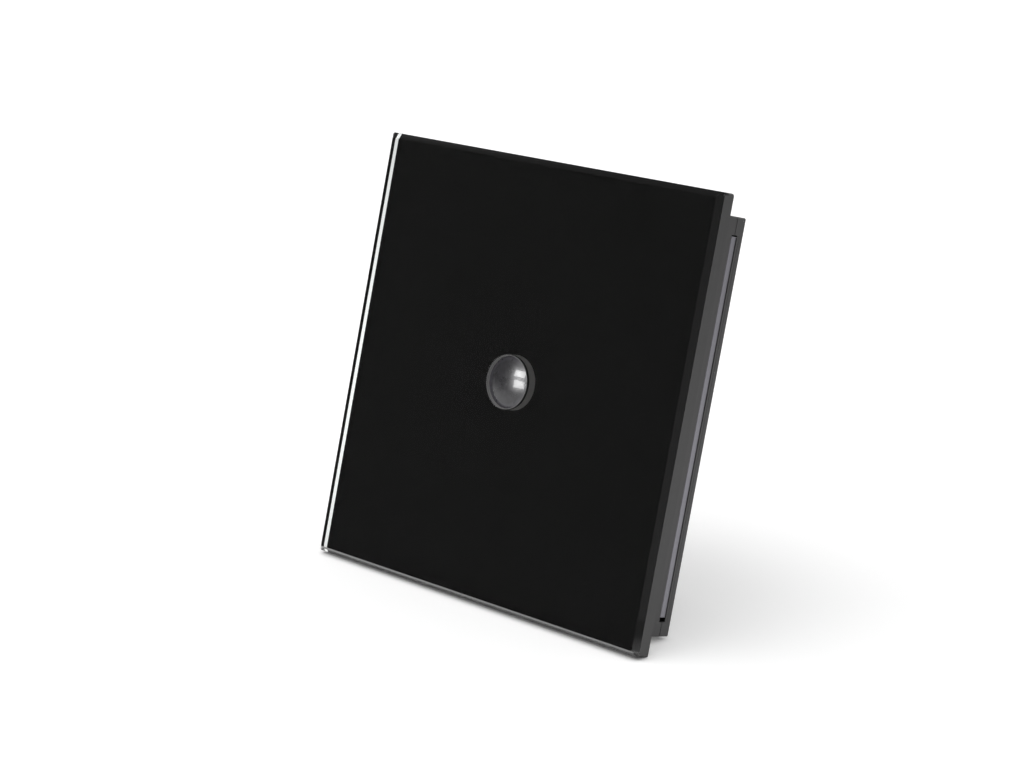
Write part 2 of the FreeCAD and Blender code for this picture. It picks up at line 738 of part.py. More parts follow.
def cover_screws():
    screws = []
    front = f"({COVER_FRONT} + running_gap)"
    head = "((cover_screw_head - cover_screw_dia) / 2)"
    arms = [("cross_length / 2", "cross_width / 2"), ("cross_width / 2", "cross_length / 2")]
    for side, level in FOUR_CORNERS:
        x, z = f"{side} * {BOSS_X}", f"{level} * {BOSS_Z}"
        cone = doc.addObject("Part::Cone", "Head")
        cone.Placement = FreeCAD.Placement(FreeCAD.Vector(), TO_WALL)
        tie(cone, Radius1="cover_screw_head / 2", Radius2="cover_screw_dia / 2", Height=head)
        tie(cone, Placement__Base__x=x, Placement__Base__y=front, Placement__Base__z=z)
        shank = rod("cover_screw_dia", f"{front} + {head}", f"{front} + cover_screw_length", x, z)
        recess = []
        for half_width, half_height in arms:
            left, right, low, high = around(x, z, half_width, half_height)
            recess.append(block((left, front, low), (right, f"{front} + cross_depth", high)))
        screws.append(cut(joined([cone, shank]), recess))
    grouped("cover_screws", screws)


def lens():
    # outer dome and skirt: a ball cut by a cylinder; inside, small round lenslets stand on the dome
    apex = f"({GLASS_FRONT} + lens_edge_depth - lens_rise)"
    dome = "((lens_dia * lens_dia / 4 + lens_rise * lens_rise) / (2 * lens_rise))"
    centre = f"({apex} + {dome})"
    bore = "(lens_dia - 2 * lens_skirt_wall)"
    skirt = shared([ball(dome, "0", centre, "0"), rod("lens_dia", apex, BRIDGE_FRONT)])
    outer = joined([skirt, rod(FLANGE_DIA, FLANGE_FRONT, BRIDGE_FRONT)])
    inner = shared([ball(f"{dome} - lens_wall", "0", centre, "0"), rod(bore, apex, BRIDGE_FRONT)])
    lenslets = []
    inner_dome = number(f"{dome} - lens_wall")
    # each lenslet's centre lies on the dome's own radius, so its middle stands equally proud
    reach = f"({dome} - lens_wall - lenslet_proud + lenslet_radius)"
    for ring, count in LENSLET_RINGS.items():
        tilt = math.asin(ring * number("lenslet_pitch") / inner_dome)
        for step in range(count):
            turn = 2 * math.pi * (step + 0.5 * (ring % 2)) / count
            across = math.sin(tilt) * math.cos(turn)
            up = math.sin(tilt) * math.sin(turn)
            x, z = f"{reach} * ({across:.6f})", f"{reach} * ({up:.6f})"
            y = f"{centre} - {reach} * ({math.cos(tilt):.6f})"
            lenslets.append(ball("lenslet_radius", x, y, z))
    keep("lens", cut(outer, [cut(inner, lenslets)]))


def sensor_sleeve():
    part = new_body("sensor_sleeve")
    slab(part, circle, SENSOR_BOARD_FRONT, BRIDGE_FRONT, FLANGE_DIA)
    hollow(part, circle, BRIDGE_FRONT, SENSOR_BOARD_FRONT, SLEEVE_BORE)


def infrared_sensor():
    front = f"({SENSOR_BOARD_FRONT} - can_height)"
    roof = f"({front} + can_wall)"
    can = new_body("pir_can")
    drum = slab(can, circle, SENSOR_BOARD_FRONT, front, "can_dia")
    fillet(can, drum, edges_on(drum, front), "can_round")
    slab(can, circle, SENSOR_BOARD_FRONT, f"{SENSOR_BOARD_FRONT} - can_lip_thick", CAN_LIP_DIA)
    hollow(can, circle, roof, SENSOR_BOARD_FRONT, CAN_INSIDE)
    hollow(can, rectangle, front, roof, "window_width", "window_height")

    window = new_body("pir_window")
    size = ("window_width + 2 * window_lap", "window_height + 2 * window_lap")
    slab(window, rectangle, f"{roof} + window_thick", roof, *size)

    header_front = f"({SENSOR_BOARD_FRONT} - header_thick)"
    tail = f"{SENSOR_BOARD_BACK} + pin_tail"
    shapes = [rod(CAN_INSIDE, header_front, SENSOR_BOARD_FRONT)]
    shapes += [rod("pin_dia", header_front, tail, x, z) for x, z in pin_places()]
    keep("pir_header", joined(shapes))


def pin_places():
    # three pins on a circle, a quarter turn apart
    return [
        ("pin_circle / 2", "0"),
        ("0", "pin_circle / 2"),
        ("-pin_circle / 2", "0"),
    ]


def board(label, front, back, height, z, corners):
    # a board that clears the housing's walls, with some of its corners cut round the screw bosses
    part = new_body(label)
    slab(part, rectangle, back, front, f"{INSIDE_WIDTH} - 2 * board_gap", height, z=z)
    for side, level in corners:
        boss = {"x": f"{side} * {BOSS_X}", "z": f"{level} * {BOSS_Z}"}
        hollow(part, circle, front, back, "boss_dia + 2 * board_gap", **boss)
    return part


def sensor_board():
    height = f"2 * {BOARD_TOP}"
    part = board("sensor_board", SENSOR_BOARD_FRONT, SENSOR_BOARD_BACK, height, "0", FOUR_CORNERS)
    for x, z in pin_places():
        hollow(part, circle, SENSOR_BOARD_FRONT, SENSOR_BOARD_BACK, "pin_dia + loose_gap", x=x, z=z)


def power_board():
    # stands between the terminal block and the top wall, notched for the housing's ribs
    height = f"{BOARD_TOP} - {BLOCK_TOP}"
    middle = f"({BOARD_TOP} + {BLOCK_TOP}) / 2"
    top_corners = [(side, level) for side, level in FOUR_CORNERS if level > 0]
    part = board("power_board", POWER_BOARD_FRONT, POWER_BOARD_BACK, height, middle, top_corners)
    size = ("rib_height + 2 * board_gap", "rib_width + 2 * board_gap")
    for side, level in FOUR_CORNERS:
        rib = {"x": f"{side} * ({INSIDE_WIDTH} - rib_height) / 2", "z": f"{level} * rib_z"}
        hollow(part, rectangle, POWER_BOARD_FRONT, POWER_BOARD_BACK, *size, **rib)


def module_housing():
    part = new_body("module_housing")
    outside = ("housing_width", "housing_height", "housing_corner")
    shell = slab(part, rounded, HOUSING_BACK, BRIDGE_BACK, *outside)
    fillet(part, shell, edges_on(shell, HOUSING_BACK), "housing_round")
    inner_corner = "housing_corner - housing_wall"
    hollow(part, rounded, BRIDGE_BACK, HOUSING_FLOOR, INSIDE_WIDTH, INSIDE_HEIGHT, inner_corner)
    bore_end = f"({COVER_FRONT} + cover_screw_length + wide_gap)"
    for side, level in FOUR_CORNERS:
        boss = {"x": f"{side} * {BOSS_X}", "z": f"{level} * {BOSS_Z}"}
        slab(part, circle, HOUSING_FLOOR, BRIDGE_BACK, "boss_dia", **boss)
        hollow(part, circle, BRIDGE_BACK, bore_end, "cover_screw_dia + 2 * running_gap", **boss)
        rib = {"x": f"{side} * ({INSIDE_WIDTH} - rib_height) / 2", "z": f"{level} * rib_z"}
        slab(part, rectangle, HOUSING_FLOOR, SENSOR_BOARD_BACK, "rib_height + slip_gap", "rib_width", **rib)
    for side in (-1, 1):
        post = {"x": f"{side} * post_x", "z": "post_z"}
        slab(part, circle, HOUSING_FLOOR, POWER_BOARD_BACK, "post_dia", **post)
    # the terminal block fills this notch in the bottom and rear walls
    notch_front = f"({BLOCK_FRONT} - loose_gap)"
    notch_top = f"({BLOCK_TOP} + loose_gap)"
    size = (f"{BLOCK_WIDTH} + 2 * loose_gap", f"{notch_top} - {BLOCK_BOTTOM}")
    middle = f"({notch_top} + {BLOCK_BOTTOM}) / 2"
    hollow(part, rectangle, notch_front, HOUSING_BACK, *size, z=middle)


def moulded(label, kind, board_front, x, z):
    # a component with rounded corners that stands on a board; the names of its sizes start with its kind
    part = new_body(label)
    size = (f"{kind}_width", f"{kind}_height", f"{kind}_corner")
    slab(part, rounded, board_front, f"{board_front} - {kind}_depth", *size, x=x, z=z)


def control_chip():
    back = SENSOR_BOARD_FRONT
    left, right, low, high = around("chip_x", "chip_z", "chip_width / 2", "chip_height / 2")
    body = block((left, f"{back} - chip_depth", low), (right, f"{back} - chip_lift", high))
    legs = []
    for step in range(LEGS_A_SIDE):
        z = f"chip_z + ({step - (LEGS_A_SIDE - 1) / 2}) * leg_pitch"
        for side in (-1, 1):
            x = f"chip_x + ({side}) * (chip_width + leg_reach) / 2"
            left, right, low, high = around(x, z, "leg_reach / 2", "leg_width / 2")
            legs.append(block((left, f"{back} - leg_thick", low), (right, back, high)))
    keep("control_chip", joined([body] + legs))


def trimmer(label, side):
    # a square adjuster whose slotted rotor is reached through the cover
    x, z = f"{side} * trimmer_x", "-trimmer_z"
    front = f"({SENSOR_BOARD_FRONT} - trimmer_height)"
    left, right, low, high = around(x, z, "trimmer_side / 2", "trimmer_side / 2")
    base = block((left, front, low), (right, SENSOR_BOARD_FRONT, high))
    recess = rod("rotor_dia + 2 * running_gap", front, f"{front} + rotor_sunk", x, z)
    keep(f"{label}_trimmer", cut(base, [recess]))
    face = f"({front} + rotor_sunk - running_gap - rotor_thick)"
    disc = rod("rotor_dia", face, f"{face} + rotor_thick", x, z)
    left, right, low, high = around(x, z, "rotor_dia / 2", "rotor_slot / 2")
    keep(f"{label}_rotor", cut(disc, [block((left, face, low), (right, f"{face} + rotor_slot", high))]))


def board_link():
    # a pin strip that joins the two boards
    left, right, low, high = around(LINK_X, "link_z", "link_width / 2", "link_height / 2")
    body = block((left, SENSOR_BOARD_BACK, low), (right, f"{SENSOR_BOARD_BACK} + link_depth", high))
    pins = []
    for step in range(LINK_PINS):
        x = f"{LINK_X} + ({step - (LINK_PINS - 1) / 2}) * link_pitch"
        left, right, low, high = around(x, "link_z", "link_pin / 2", "link_pin / 2")
        pins.append(block((left, SENSOR_BOARD_BACK, low), (right, POWER_BOARD_FRONT, high)))
    keep("board_link", joined([body] + pins))


def smoothing_capacitor():
    # an aluminium drum on its narrower rubber bung
    place = ("drum_x", "drum_z")
    drum_back = f"({POWER_BOARD_FRONT} - bung_length)"
    drum = rod("drum_dia", f"{POWER_BOARD_FRONT} - drum_length", drum_back, *place)
    bung = rod("bung_dia", drum_back, POWER_BOARD_FRONT, *place)
    keep("smoothing_capacitor", joined([drum, bung]))


def varistor():
    # a thick disc that stands on edge on two leads
    middle = f"({POWER_BOARD_FRONT} - varistor_lift - varistor_dia / 2)"
    left, right = "varistor_x - varistor_thick / 2", "varistor_x + varistor_thick / 2"
    shapes = [cross_rod("varistor_dia", left, right, middle, "varistor_z")]
    for side in (-1, 1):
        z = f"varistor_z + ({side}) * varistor_pitch / 2"
        shapes.append(rod("lead_dia", middle, POWER_BOARD_FRONT, "varistor_x", z))
    keep("varistor", joined(shapes))


def fuse_resistor():
    # a barrel that lies along the board on its bent leads
    middle = f"({POWER_BOARD_FRONT} - resistor_lift - resistor_dia / 2)"
    left, right = "resistor_x - resistor_length / 2", "resistor_x + resistor_length / 2"
    shapes = [cross_rod("resistor_dia", left, right, middle, "resistor_z")]
    left, right = "resistor_x - resistor_pitch / 2", "resistor_x + resistor_pitch / 2"
    shapes.append(cross_rod("lead_dia", left, right, middle, "resistor_z"))
    for x in (left, right):
        shapes.append(ball("lead_dia / 2", x, middle, "resistor_z"))
        shapes.append(rod("lead_dia", middle, POWER_BOARD_FRONT, x, "resistor_z"))
    keep("fuse_resistor", joined(shapes))


def terminal_block():
    half = f"{BLOCK_WIDTH} / 2"
    body = block((f"-({half})", BLOCK_FRONT, BLOCK_BOTTOM), (half, HOUSING_BACK, BLOCK_TOP))
    tools = []
    for pole in POLES.values():
        x = f"({pole} * pole_pitch)"
        left, right = f"{x} - {CHAMBER_WIDTH} / 2", f"{x} + {CHAMBER_WIDTH} / 2"
        tools.append(block((left, BLOCK_FRONT, CHAMBER_BOTTOM), (right, CHAMBER_BACK, CHAMBER_TOP)))
        left, right = f"{x} - {BAR_WIDTH} / 2 - slip_gap", f"{x} + {BAR_WIDTH} / 2 + slip_gap"
        slit = (f"{BAR_FRONT} - slip_gap", f"{BAR_BACK} + slip_gap")
        tools.append(block((left, slit[0], CHAMBER_TOP), (right, slit[1], BLOCK_TOP)))
        left, right = f"{x} - wire_mouth / 2", f"{x} + wire_mouth / 2"
        tools.append(block((left, JAW_BACK, BLOCK_BOTTOM), (right, BAR_FRONT, CHAMBER_BOTTOM)))
        tools.append(rod("screw_dia + 2 * loose_gap", CHAMBER_BACK, SCREW_SEAT, x, CLAMP_Z))
        tools.append(rod("screw_head + 2 * slip_gap", SCREW_SEAT, HOUSING_BACK, x, CLAMP_Z))
    keep("terminal_block", cut(body, tools))


def contact_bars():
    bars = []
    foot = f"{BLOCK_TOP} + bar_thick"
    for pole in POLES.values():
        x = f"({pole} * pole_pitch)"
        left, right = f"{x} - {BAR_WIDTH} / 2", f"{x} + {BAR_WIDTH} / 2"
        blade = block((left, BAR_FRONT, f"{CHAMBER_BOTTOM} + loose_gap"), (right, BAR_BACK, foot))
        tab = block((left, BAR_FRONT, BLOCK_TOP), (right, POWER_BOARD_FRONT, foot))
        bars.append(joined([blade, tab]))
    grouped("contact_bars", bars)


def clamp(label, pole):
    # the rising cage: its nut runs on the screw, and its jaw lifts the wire to the bar
    x = f"({pole} * pole_pitch)"
    left, right, low, high = around(x, CLAMP_Z, f"{CLAMP_WIDTH} / 2", "clamp_length / 2")
    cage = block((left, f"{JAW_BACK} - clamp_jaw", low), (right, NUT_BACK, high))
    left, right, low, high = around(x, CLAMP_Z, f"{CLAMP_INSIDE} / 2", "clamp_length / 2")
    mouth = block((left, JAW_BACK, low), (right, NUT_FRONT, high))
    thread = rod("screw_dia + 2 * running_gap", NUT_FRONT, NUT_BACK, x, CLAMP_Z)
    keep(f"{label}_clamp", cut(cage, [mouth, thread]))


def terminal_screw(label, pole):
    x = f"({pole} * pole_pitch)"
    seat = f"({SCREW_SEAT} + running_gap)"
    face = f"({seat} + screw_head_thick)"
    shank = rod("screw_dia", f"{BAR_BACK} + slip_gap", seat, x, CLAMP_Z)
    head = rod("screw_head", seat, face, x, CLAMP_Z)
    left, right, low, high = around(x, CLAMP_Z, "driver_slot / 2", "screw_head / 2")
    slot = block((left, f"{face} - driver_depth", low), (right, face, high))
    keep(f"{label}_screw", cut(joined([shank, head]), [slot]))


def check_and_write():
    doc.recompute()
    for item in doc.Objects:
        if {"Invalid", "Error"} & set(item.State):
            owner = item.getParentGeoFeatureGroup()
            raise RuntimeError(f"{item.Label} in {owner.Label if owner else 'the document'} failed")
        if item.TypeId == "PartDesign::Pocket" and item.Shape.Volume >= item.BaseFeature.Shape.Volume:
            raise RuntimeError(f"{item.Label} cuts nothing")
    os.makedirs("parts", exist_ok=True)
    for item in nodes:
        shape = item.Shape
        if shape.isNull() or not shape.isValid():
            raise RuntimeError(f"{item.Label} has no valid shape")
        shape.exportStep(f"parts/{item.Label}.step")
        print(item.Label, len(shape.Solids), "solids", round(shape.Volume, 2), "mm3")


glass_panel()
back_print()
adhesive_pad()
panel_frame()
base_frame()
steel_bridge()
retaining_springs()
front_cover()
cover_screws()
lens()
sensor_sleeve()
infrared_sensor()
sensor_board()
power_board()
module_housing()
control_chip()
for side_name, side_sign in (("delay", -1), ("lux", 1)):
    trimmer(side_name, side_sign)
moulded("light_sensor", "daylight", SENSOR_BOARD_FRONT, "0", DAYLIGHT_Z)
board_link()
moulded("relay", "relay", POWER_BOARD_FRONT, "relay_x", RELAY_Z)
moulded("film_capacitor", "film", POWER_BOARD_FRONT, "film_x", FILM_Z)
moulded("bridge_rectifier", "rectifier", POWER_BOARD_FRONT, "rectifier_x", "rectifier_z")
smoothing_capacitor()
varistor()
fuse_resistor()
terminal_block()
contact_bars()
for pole_name, pole_side in POLES.items():
    clamp(pole_name, pole_side)
    terminal_screw(pole_name, pole_side)
check_and_write()
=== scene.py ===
import json
import math

import bmesh
import bpy
from mathutils import Matrix, Vector


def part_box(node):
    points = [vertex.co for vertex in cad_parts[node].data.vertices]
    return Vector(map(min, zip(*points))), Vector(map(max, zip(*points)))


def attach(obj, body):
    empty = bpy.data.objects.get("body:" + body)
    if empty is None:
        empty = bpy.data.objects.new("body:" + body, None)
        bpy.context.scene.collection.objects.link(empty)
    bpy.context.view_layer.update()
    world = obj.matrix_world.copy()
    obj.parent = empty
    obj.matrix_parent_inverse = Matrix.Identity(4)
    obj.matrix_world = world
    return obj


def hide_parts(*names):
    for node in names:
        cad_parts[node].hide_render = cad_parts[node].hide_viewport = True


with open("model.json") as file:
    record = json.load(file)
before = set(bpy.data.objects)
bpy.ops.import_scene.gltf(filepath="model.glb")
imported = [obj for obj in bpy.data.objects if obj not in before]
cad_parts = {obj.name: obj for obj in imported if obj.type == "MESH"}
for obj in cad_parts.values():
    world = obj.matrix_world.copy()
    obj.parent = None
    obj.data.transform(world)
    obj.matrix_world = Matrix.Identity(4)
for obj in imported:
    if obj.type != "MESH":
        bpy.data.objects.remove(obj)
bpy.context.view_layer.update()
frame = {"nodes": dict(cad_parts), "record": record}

mm = 0.001
nodes = frame["nodes"]
glassLow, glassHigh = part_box("glass_panel")
glassFace, glassBack, halfPanel = glassLow[1], glassHigh[1], glassHigh[0]
outlineFrom = 20 * mm  # glass farther from the axis than this is the outline, nearer is the hole
mergeWithin = 0.001 * mm


# helpers for shader trees
def addNode(tree, kind, inputs=None, **settings):
    node = tree.nodes.new(kind)
    for name, value in settings.items():
        setattr(node, name, value)
    for name, value in (inputs or {}).items():
        if isinstance(value, bpy.types.NodeSocket):
            tree.links.new(value, node.inputs[name])
        else:
            node.inputs[name].default_value = value
    return node


def newMaterial(name, **values):
    material = bpy.data.materials.new(name)
    material.use_nodes = True
    tree = material.node_tree
    shader = tree.nodes["Principled BSDF"]
    for socket, value in values.items():
        shader.inputs[socket.replace("_", " ")].default_value = value
    place = tree.nodes.new("ShaderNodeTexCoord").outputs["Object"]
    return material, tree, shader, place


def mathNode(tree, operation, *values, clamp=False):
    node = addNode(tree, "ShaderNodeMath", dict(enumerate(values)), operation=operation, use_clamp=clamp)
    return node.outputs[0]


def blendColour(tree, amount, first, second):
    # a Mix node takes its two colours in sockets 6 and 7 and gives their blend in output 2
    return addNode(tree, "ShaderNodeMix", {0: amount, 6: first, 7: second}, data_type="RGBA").outputs[2]


def blendValue(tree, amount, low, high, start=0.0, end=1.0):
    node = addNode(tree, "ShaderNodeMapRange", {
        "Value": amount, "From Min": start, "From Max": end, "To Min": low, "To Max": high})
    return node.outputs["Result"]


def multiplied(tree, colour, factor):
    node = addNode(tree, "ShaderNodeVectorMath", {0: colour, 1: factor}, operation="MULTIPLY")
    return node.outputs["Vector"]


def scaled(colour, factor):
    return tuple(min(1.0, channel * factor) for channel in colour[:3]) + (1.0,)


def shades(tree, amount, colour, darker, paler):
    return blendColour(tree, amount, scaled(colour, darker), scaled(colour, paler))


def bump(tree, shader, height, distance, normal=None):
    inputs = {"Height": height, "Distance": distance}
    if normal is not None:
        inputs["Normal"] = normal
    node = addNode(tree, "ShaderNodeBump", inputs)
    tree.links.new(node.outputs["Normal"], shader.inputs["Normal"])


def newGroup(name, inputs, outputs):
    group = bpy.data.node_groups.new(name, "ShaderNodeTree")
    for label, kind, value in inputs:
        socket = group.interface.new_socket(name=label, in_out="INPUT", socket_type=kind)
        if value is not None:
            socket.default_value = value
    for label, kind in outputs:
        group.interface.new_socket(name=label, in_out="OUTPUT", socket_type=kind)
    return group, group.nodes.new("NodeGroupInput").outputs, group.nodes.new("NodeGroupOutput").inputs


def useGroup(tree, group, **inputs):
    return addNode(tree, "ShaderNodeGroup", inputs, node_tree=group).outputs


vectorSocket, floatSocket = "NodeSocketVector", "NodeSocketFloat"

# moulded grain: fine pitting and a slow mottle
grainLook = {
    "scale": 2500.0,
    "detail": 3.0,
    "mottleScale": 90.0,
    "mottleDetail": 4.0,
    "mottleRoughness": 0.6,
}


def makeGrainGroup():
    group, given, wanted = newGroup(
        "mouldedGrain",
        [("Vector", vectorSocket, None), ("Scale", floatSocket, grainLook["scale"]),
         ("Mottle Scale", floatSocket, grainLook["mottleScale"])],
        [("Height", floatSocket), ("Mottle", floatSocket)],
    )
    fine = addNode(group, "ShaderNodeTexNoise", {
        "Vector": given["Vector"], "Scale": given["Scale"], "Detail": grainLook["detail"]})
    slow = addNode(group, "ShaderNodeTexNoise", {
        "Vector": given["Vector"], "Scale": given["Mottle Scale"], "Detail": grainLook["mottleDetail"],
        "Roughness": grainLook["mottleRoughness"]})
    group.links.new(fine.outputs["Fac"], wanted["Height"])
    group.links.new(slow.outputs["Fac"], wanted["Mottle"])
    return group


# lines drawn along one direction, as on rolled or brushed metal
brushLook = {"stretch": (60.0, 60.0, 4000.0), "detail": 5.0}


def makeBrushGroup():
    group, given, wanted = newGroup(
        "drawnLines",
        [("Vector", vectorSocket, None), ("Stretch", vectorSocket, brushLook["stretch"])],
        [("Height", floatSocket)],
    )
    stretched = addNode(group, "ShaderNodeMapping", {"Vector": given["Vector"], "Scale": given["Stretch"]})
    lines = addNode(group, "ShaderNodeTexNoise", {
        "Vector": stretched.outputs["Vector"], "Scale": 1.0, "Detail": brushLook["detail"]})
    group.links.new(lines.outputs["Fac"], wanted["Height"])
    return group


# rounded edges: where a rounded normal leaves the flat one; the paler edges drawn with this mask are partly
# wear and partly painted highlight
roundedEdgeLook = {"width": 0.2 * mm, "gain": 6.0, "samples": 4}


def makeEdgeGroup():
    group, given, wanted = newGroup(
        "edgeMask",
        [("Width", floatSocket, roundedEdgeLook["width"]), ("Gain", floatSocket, roundedEdgeLook["gain"])],
        [("Mask", floatSocket), ("Normal", vectorSocket)],
    )
    soft = addNode(group, "ShaderNodeBevel", {"Radius": given["Width"]}, samples=roundedEdgeLook["samples"])
    flat = group.nodes.new("ShaderNodeNewGeometry")
    same = addNode(group, "ShaderNodeVectorMath", {0: soft.outputs["Normal"], 1: flat.outputs["Normal"]},
                   operation="DOT_PRODUCT")
    away = mathNode(group, "SUBTRACT", 1.0, same.outputs["Value"])
    group.links.new(mathNode(group, "MULTIPLY", away, given["Gain"], clamp=True), wanted["Mask"])
    group.links.new(soft.outputs["Normal"], wanted["Normal"])
    return group


# settled dust: sparse pale specks in patches
dustLook = {
    "scale": 700.0,
    "amount": 0.08,
    "patchScale": 60.0,
    "patchFrom": 0.52,
    "colour": (0.55, 0.55, 0.54, 1.0),
    "cover": 0.5,
}


def makeDustGroup():
    group, given, wanted = newGroup(
        "dustSpecks",
        [("Vector", vectorSocket, None), ("Scale", floatSocket, dustLook["scale"]),
         ("Amount", floatSocket, dustLook["amount"])],
        [("Mask", floatSocket)],
    )
    cells = addNode(group, "ShaderNodeTexVoronoi", {"Vector": given["Vector"], "Scale": given["Scale"]})
    near = mathNode(group, "LESS_THAN", cells.outputs["Distance"], given["Amount"])
    patches = addNode(group, "ShaderNodeTexNoise", {
        "Vector": given["Vector"], "Scale": dustLook["patchScale"]})
    where = mathNode(group, "GREATER_THAN", patches.outputs["Fac"], dustLook["patchFrom"])
    group.links.new(mathNode(group, "MULTIPLY", near, where), wanted["Mask"])
    return group


grainGroup = makeGrainGroup()
brushGroup = makeBrushGroup()
edgeGroup = makeEdgeGroup()
dustGroup = makeDustGroup()
print("shared effects made")


# painted shade in the parting line between the two frame shells
seamLook = {"level": -2.33 * mm, "reach": 0.22 * mm, "core": 0.1 * mm, "shade": 0.35}


def seamShade(tree, place):
    level = addNode(tree, "ShaderNodeSeparateXYZ", {"Vector": place}).outputs["Y"]
    near = mathNode(tree, "ABSOLUTE", mathNode(tree, "SUBTRACT", level, seamLook["level"]))
    return blendValue(tree, near, 1.0, seamLook["shade"], seamLook["reach"], seamLook["core"])


# moulded plastic in one colour, with its grain, mottle, slightly paler edges that are partly wear and partly
# painted highlight, and optional painted shade along the parting line
plasticLook = {
    "grainScale": 2500.0,
    "grainDepth": 4e-6,
    "tones": (0.88, 1.12),
    "edge": 1.6,
    "spread": (-0.06, 0.08),
    "dust": 0.0,
    "seam": False,
}


def plastic(name, colour, roughness, **changes):
    look = plasticLook | changes
    material, tree, shader, place = newMaterial(name)
    grain = useGroup(tree, grainGroup, Vector=place, Scale=look["grainScale"])
    edges = useGroup(tree, edgeGroup)
    base = shades(tree, grain["Mottle"], colour, *look["tones"])
    # paler edges: partly wear, partly painted highlight
    layeredTone = blendColour(tree, edges["Mask"], base, scaled(colour, look["edge"]))
    if look["dust"]:
        specks = useGroup(tree, dustGroup, Vector=place, Amount=look["dust"])
        cover = mathNode(tree, "MULTIPLY", specks["Mask"], dustLook["cover"])
        layeredTone = blendColour(tree, cover, layeredTone, dustLook["colour"])
    # painted shade: darker along the parting line between the frame shells
    if look["seam"]:
        layeredTone = multiplied(tree, layeredTone, seamShade(tree, place))
    tree.links.new(layeredTone, shader.inputs["Base Color"])
    smoother, rougher = (roughness + change for change in look["spread"])
    tree.links.new(blendValue(tree, grain["Mottle"], smoother, rougher), shader.inputs["Roughness"])
    bump(tree, shader, grain["Height"], look["grainDepth"], edges["Normal"])
    return material


# plated or bare metal, with drawn lines and brighter edges that are partly wear and partly painted highlight
metalLook = {"lineDepth": 2e-6, "tones": (0.85, 1.075), "edge": 1.25, "spread": (-0.1, 0.12)}


def metal(name, colour, roughness, stretch=brushLook["stretch"]):
    material, tree, shader, place = newMaterial(name, Metallic=1.0)
    lines = useGroup(tree, brushGroup, Vector=place, Stretch=stretch)
    grain = useGroup(tree, grainGroup, Vector=place)
    edges = useGroup(tree, edgeGroup)
    base = shades(tree, grain["Mottle"], colour, *metalLook["tones"])
    # brighter edges: partly wear, partly painted highlight
    layeredTone = blendColour(tree, edges["Mask"], base, scaled(colour, metalLook["edge"]))
    tree.links.new(layeredTone, shader.inputs["Base Color"])
    smoother, rougher = (roughness + change for change in metalLook["spread"])
    tree.links.new(blendValue(tree, lines["Height"], smoother, rougher), shader.inputs["Roughness"])
    bump(tree, shader, lines["Height"], metalLook["lineDepth"], edges["Normal"])
    return material


# helpers for meshes
def meshObject(name, shape):
    mesh = bpy.data.meshes.new(name)
    shape.to_mesh(mesh)
    shape.free()
    piece = bpy.data.objects.new(name, mesh)
    bpy.context.scene.collection.objects.link(piece)
    return piece


def addPiece(name, shape, body, slotName, material, *replaced):
    # turns a finished shape into a piece that rides on a body
    piece = meshObject(name, shape)
    piece.data.materials.append(material)
    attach(piece, body)
    if replaced:
        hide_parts(*replaced)
    return piece


def closeShape(shape):
    bmesh.ops.remove_doubles(shape, verts=shape.verts, dist=mergeWithin)
    bmesh.ops.recalc_face_normals(shape, faces=shape.faces)


def mergedCopy(nodeName):
    shape = bmesh.new()
    shape.from_mesh(nodes[nodeName].data)
    closeShape(shape)
    return shape


def spreadOutline(shape, factor):
    # makes the square outline larger or smaller and leaves the hole as it is
    outline = [v for v in shape.verts if max(abs(v.co.x), abs(v.co.z)) > outlineFrom]
    bmesh.ops.scale(shape, verts=outline, vec=(factor, 1.0, factor))


# the glass plate: clear and polished, with faint smudges, and drawn in a little so that a ground skin can
# cover its sides
glassLook = {
    "tint": (0.965, 0.985, 0.975, 1.0),
    "ior": 1.52,
    "smudgeScale": 45.0,
    "smudgeDetail": 4.0,
    "smudges": (0.0, 0.02),
    "drawnIn": 0.99965,
}


def glassMaterial():
    material, tree, shader, place = newMaterial(
        "clearGlass", Base_Color=glassLook["tint"], IOR=glassLook["ior"], Transmission_Weight=1.0)
    smudge = addNode(tree, "ShaderNodeTexNoise", {
        "Vector": place, "Scale": glassLook["smudgeScale"], "Detail": glassLook["smudgeDetail"]})
    roughness = blendValue(tree, smudge.outputs["Fac"], *glassLook["smudges"])
    tree.links.new(roughness, shader.inputs["Roughness"])
    return material


def makePlate():
    shape = mergedCopy("glass_panel")
    spreadOutline(shape, glassLook["drawnIn"])
    addPiece("glassPlate", shape, "panel", "clear_glass", materials["clear_glass"], "glass_panel")


# the black print, bonded into the glass's back so that no air shows between them, with no gloss of its own
printLook = {
    "bond": 0.004 * mm,
    "spread": 1.0025,
    "tones": ((0.0028, 0.0028, 0.0027, 1.0), (0.0044, 0.0043, 0.0042, 1.0)),
    "roughness": 0.6,
    "grainScale": 5000.0,
    "grainDepth": 1e-6,
}


def printMaterial():
    material, tree, shader, place = newMaterial(
        "blackPrint", Roughness=printLook["roughness"], Specular_IOR_Level=0.0)
    grain = useGroup(tree, grainGroup, Vector=place, Scale=printLook["grainScale"])
    tree.links.new(blendColour(tree, grain["Mottle"], *printLook["tones"]), shader.inputs["Base Color"])
    bump(tree, shader, grain["Height"], printLook["grainDepth"])
    return material


def makePrint():
    shape = mergedCopy("back_print")
    low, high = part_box("back_print")
    front = [v for v in shape.verts if v.co.y < (low[1] + high[1]) / 2]
    bmesh.ops.translate(shape, verts=front, vec=(0.0, -printLook["bond"], 0.0))
    spreadOutline(shape, printLook["spread"])
    addPiece("printLayer", shape, "panel", "black_print", materials["black_print"], "back_print")


